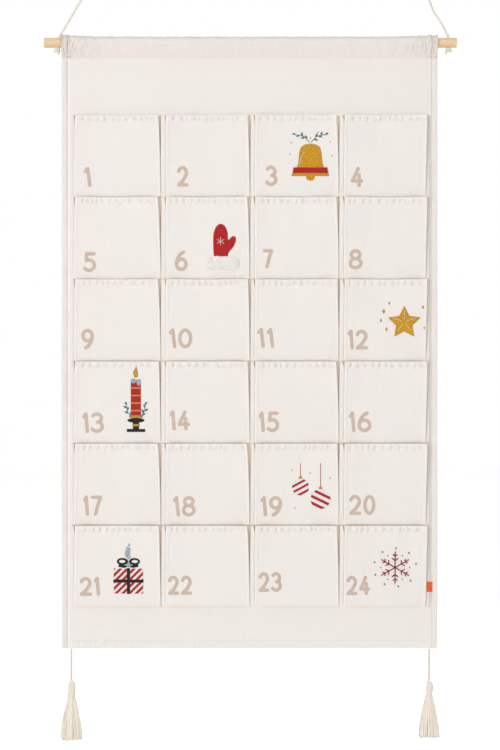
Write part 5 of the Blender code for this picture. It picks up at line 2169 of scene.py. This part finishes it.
@dataclass
class Tassel:
    """A tassel on its short cord at one corner of the cloth."""

    side: Side
    head_height: float = 0.0195
    head_radius: float = 0.0054
    head_strands: int = 18
    head_strand_radius: float = 0.00102
    neck_height: float = 0.0042
    neck_radius: float = 0.0043
    tie_turns: int = 5
    tie_radius: float = 0.00052
    turn_steps: int = 24
    skirt_radius: float = 0.0165
    skirt_depth: float = 0.80
    strands: int = 168
    bundles: int = 15
    strand_radius: float = 0.00080
    cord_end: float = 0.0025
    cord_fuzz: float = 0.00028

    # How far down the head or the skirt a thread's points lie, and the head's shares there
    HEAD = (
        (0.0, 0.20), (0.10, 0.45), (0.28, 0.70), (0.5, 0.82), (0.75, 0.82), (0.93, 0.72),
        (1.08, 0.62))
    SKIRT = (0.0, 0.07, 0.16, 0.30, 0.47, 0.64, 0.82, 1.0)

    def build(self) -> None:
        """Build the cord, the head, the binding and the skirt."""
        side = self.side.value
        low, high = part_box(f"tassel_cord_{side}")
        x, y = (low.x + high.x) / 2, (low.y + high.y) / 2
        top = Vector((x, y, high.z))
        path = smooth_points(
            [top, (x, y, (low.z + high.z) / 2), (x, y, low.z - self.cord_end)], 0.0008)
        radius = (high.x - low.x) / 2 + self.cord_fuzz
        rope = Strand(radius, sides=14, plies=3, ply_depth=0.14, twist=tau / 0.0085)
        cord = add_piece(
            f"tassel_string_{side}", rope.rounded(path), "tassel_string", f"tassel_cord_{side}",
            f"{side}_tassel_cord")
        route_length(path)
        thread_low, thread_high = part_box(f"tassel_threads_{side}")
        crown = Vector((x, y, thread_high.z))
        chance = random.Random(31 if self.side is Side.LEFT else 32)
        threads = self.head(crown, chance) + self.skirt(crown, thread_low.z, chance)
        for name, shape, node in (
            ("tassel", join(threads), "threads"), ("tassel_tie", self.tie(crown), "binding")):
            add_piece(
                f"{name}_{side}", shape, "tassel_thread", f"tassel_{node}_{side}",
                f"{side}_tassel")

    def head(self, crown: Vector, chance: random.Random) -> list[BMesh]:
        """Return the threads that fold over the cord and come down to the neck.

        Args:
            crown: the head's top.
            chance: what the threads' small differences are drawn from.

        Returns:
            The threads and the plain core that they cover.
        """
        parts = []
        for place in range(self.head_strands):
            angle = tau * place / self.head_strands + chance.uniform(-0.08, 0.08)
            way = Vector((cos(angle), sin(angle), 0.0))
            points = []
            for down, out in self.HEAD:
                reach = self.head_radius * out * chance.uniform(0.97, 1.03)
                bulge = Vector((0.0007 * sin(pi * min(down, 1.0)), 0.0, 0.0))
                fall = Vector((0.0, 0.0, self.head_height * down))
                points.append(crown + way * reach + bulge - fall)
            path = smooth_points(points, 0.0012)
            shares = [min(1.0, 0.55 + 0.12 * n) for n in range(len(path))]
            parts.append(Strand(self.head_strand_radius, sides=7).sweep(path, shares))
        core = bmesh.new()
        bmesh.ops.create_uvsphere(core, u_segments=16, v_segments=10, radius=1.0)
        wide, tall = self.head_radius * 0.74, self.head_height * 0.49
        bmesh.ops.scale(core, vec=(wide, wide, tall), verts=core.verts)
        middle = crown - Vector((0.0, 0.0, self.head_height * 0.53))
        bmesh.ops.translate(core, vec=middle, verts=core.verts)
        return parts + [core]

    def skirt(self, crown: Vector, bottom: float, chance: random.Random) -> list[BMesh]:
        """Return the loose threads under the neck, over a plain core.

        Args:
            crown: the head's top.
            bottom: the height that the longest threads nearly reach.
            chance: what the threads' small differences are drawn from.

        Returns:
            The threads and the core.
        """
        top = crown.z - self.head_height - self.neck_height * 0.3
        length = top - bottom
        lobe_turn = chance.uniform(0.0, tau)
        fulness = [chance.uniform(0.92, 1.0) for _ in range(self.bundles)]
        front_right = -0.30 * pi
        parts = []
        for place in range(self.strands):
            bundle, within = divmod(self.bundles * place / self.strands, 1.0)
            off = 2.0 * within - 1.0
            angle = tau * (bundle + 0.5 + 0.37 * off) / self.bundles + lobe_turn
            angle = (angle + chance.uniform(-0.04, 0.04) + pi) % tau - pi
            layer = chance.uniform(0.92, 1.0) if place % 3 else chance.uniform(0.74, 0.90)
            end = length * (chance.uniform(0.955, 0.995))
            sway = chance.uniform(-0.0007, 0.0007)
            wave = chance.uniform(0.0, tau)
            hollow = 1.0 - 0.24 * exp(-((angle - front_right) / 0.42) ** 2)
            points = []
            for down in self.SKIRT:
                spread = 0.25 + 0.75 * (1.0 - (1.0 - down) ** 1.7)
                lobes = hollow * (fulness[int(bundle)] - 0.12 * off * off * min(1.0, 2.5 * down))
                reach = (self.skirt_radius - self.strand_radius) * spread * layer * lobes
                reach += 0.0003 * sin(7.0 * down + wave)
                turn = angle + 0.05 * sin(5.0 * down + wave)
                offset = Vector((
                    cos(turn) * reach + sway * down, sin(turn) * reach * self.skirt_depth,
                    -end * down))
                points.append(Vector((crown.x, crown.y, top)) + offset)
            strand = Strand(self.strand_radius * chance.uniform(0.85, 1.1), sides=6)
            parts.append(strand.sweep(smooth_points(points, 0.0032)))
        core = bmesh.new()
        bmesh.ops.create_cone(
            core, cap_ends=True, segments=24, radius1=self.skirt_radius * 0.60,
            radius2=self.neck_radius * 0.7, depth=length * 0.86)
        bmesh.ops.scale(core, vec=(1.0, self.skirt_depth, 1.0), verts=core.verts)
        bmesh.ops.translate(core, vec=(crown.x, crown.y, top - length * 0.425), verts=core.verts)
        return parts + [core]

    def tie(self, crown: Vector) -> BMesh:
        """Return the thread wound round the neck."""
        radius, steps = self.tie_radius, self.tie_turns * self.turn_steps
        start = crown.z - self.head_height - CLOTH.air - radius
        run = self.neck_height - 2 * radius
        reach = self.neck_radius + 0.0006
        points = []
        for step in range(steps + 1):
            angle = tau * step / self.turn_steps
            x, y = crown.x + reach * cos(angle), crown.y + reach * sin(angle)
            points.append(Vector((x, y, start - run * step / steps)))
        return Strand(radius, sides=7).sweep(points)


@dataclass(frozen=True)
class Lamp:
    """One soft round lamp that faces the calendar."""

    name: str
    place: tuple[float, float, float]
    size: float
    power: float

    def hang(self) -> None:
        """Hang the lamp."""
        data = bpy.data.lights.new(self.name, "AREA")
        data.shape = "DISK"
        data.size = self.size
        data.energy = self.power
        lamp = bpy.data.objects.new(self.name, data)
        lamp.location = self.place
        aim = Vector((0.0, 0.0, VIEW.up)) - Vector(self.place)
        lamp.rotation_euler = aim.to_track_quat("-Z", "Y").to_euler()
        lamp.visible_camera = False
        bpy.context.scene.collection.objects.link(lamp)


@dataclass
class Studio:
    """The plain pale floor, the soft lamps and the white background."""

    floor_gap: float = 0.28
    floor_size: float = 30.0
    floor_colour: Colour = (0.80, 0.795, 0.79)
    around: float = 0.245
    around_colour: Colour = (1.0, 0.992, 0.985)
    lamps: tuple[Lamp, ...] = (
        Lamp("key", (-1.7, -4.7, -0.4), 2.0, 112.0),
        Lamp("front", (0.5, -4.4, -0.4), 1.8, 37.0),
        Lamp("above", (0.3, -1.0, 4.0), 1.6, 44.0),
        Lamp("rear", (1.6, 3.4, 0.5), 1.6, 98.0),
    )

    def build(self) -> None:
        """Set up the floor, the lamps and the world."""
        self.make_floor()
        for lamp in self.lamps:
            lamp.hang()
        self.make_world()
        bpy.context.scene.view_settings.view_transform = "Standard"

    def make_floor(self) -> None:
        """Lay the floor under the calendar, white to the camera but for shadows on it."""
        bm = bmesh.new()
        bmesh.ops.create_grid(bm, x_segments=1, y_segments=1, size=self.floor_size / 2)
        bmesh.ops.translate(bm, vec=(0.0, 0.0, CAD_BOX[0].z - self.floor_gap), verts=bm.verts)
        mesh = smooth_mesh(bm, "floor", outward=False)
        floor = bpy.data.objects.new("floor", mesh)
        bpy.context.scene.collection.objects.link(floor)
        recipe = Recipe("floor", roughness=0.9)
        recipe.set("Specular IOR Level", 0.0)
        recipe.set("Base Color", rgba(self.floor_colour))
        seen = recipe.node("ShaderNodeLightPath", output="Is Camera Ray")
        x, y, _ = recipe.axes(recipe.object_place())
        away = (x * x + y * y).math("SQRT") * 0.1
        white = recipe.ramp(
            away, (0.0, (0.50, 0.51, 0.52)), (0.12, (0.54, 0.55, 0.56)), (0.30, (0.70, 0.70, 0.71)),
            (0.55, (0.80, 0.80, 0.80)))
        recipe.set("Emission Color", recipe.blend(seen, rgba(BLACK), white))
        recipe.set("Emission Strength", 1.0)
        mesh.materials.append(recipe.material)

    def make_world(self) -> None:
        """Light the scene evenly and show white behind it."""
        world = bpy.data.worlds.new("world")
        bpy.context.scene.world = world
        world.use_nodes = True
        tree = world.node_tree
        path, seen_ray, seen, mixer = [tree.nodes.new(f"ShaderNode{kind}") for kind in (
            "LightPath", "Math", "Background", "MixShader")]
        around = tree.nodes["Background"]
        seen_ray.operation = "MAXIMUM"
        seen.inputs["Color"].default_value = rgba(WHITE)
        around.inputs["Color"].default_value = rgba(self.around_colour)
        around.inputs["Strength"].default_value = self.around
        surface = tree.nodes["World Output"].inputs["Surface"]
        for output, socket in (
            (path.outputs["Is Camera Ray"], seen_ray.inputs[0]),
            (path.outputs["Is Glossy Ray"], seen_ray.inputs[1]),
            (seen_ray.outputs[0], mixer.inputs[0]), (around.outputs[0], mixer.inputs[1]),
            (seen.outputs[0], mixer.inputs[2]), (mixer.outputs[0], surface)):
            tree.links.new(output, socket)


def main() -> None:
    """Build the calendar's looks round the frame."""
    logging.basicConfig(level=logging.INFO)
    VIEW.make_camera()
    dress_finishes()
    HangingCord(Side.LEFT, LEFT_ROUTE).build()
    HangingCord(Side.RIGHT, RIGHT_ROUTE).build()
    for side in Side:
        Tassel(side).build()
    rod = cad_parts["top_rod"]
    rod.data.materials.clear()
    rod.data.materials.append(FINISHES["rod_wood"])
    backing = Backing()
    backing.build()
    rows = [PocketRow(number + 1) for number in range(ROWS)]
    pockets = [Pocket(row, column) for row in rows for column in range(COLUMNS)]
    stitching = Stitching()
    stitching.sew_backing(backing)
    for place, row in enumerate(rows):
        row.build()
        stitching.sew_row(row, pockets[place * COLUMNS:(place + 1) * COLUMNS])
    stitching.sew_back(backing, rows)
    Lettering().build(pockets)
    Appliques(pockets).build()
    Label().build()
    Studio().build()


if __name__ == "__main__":
    main()
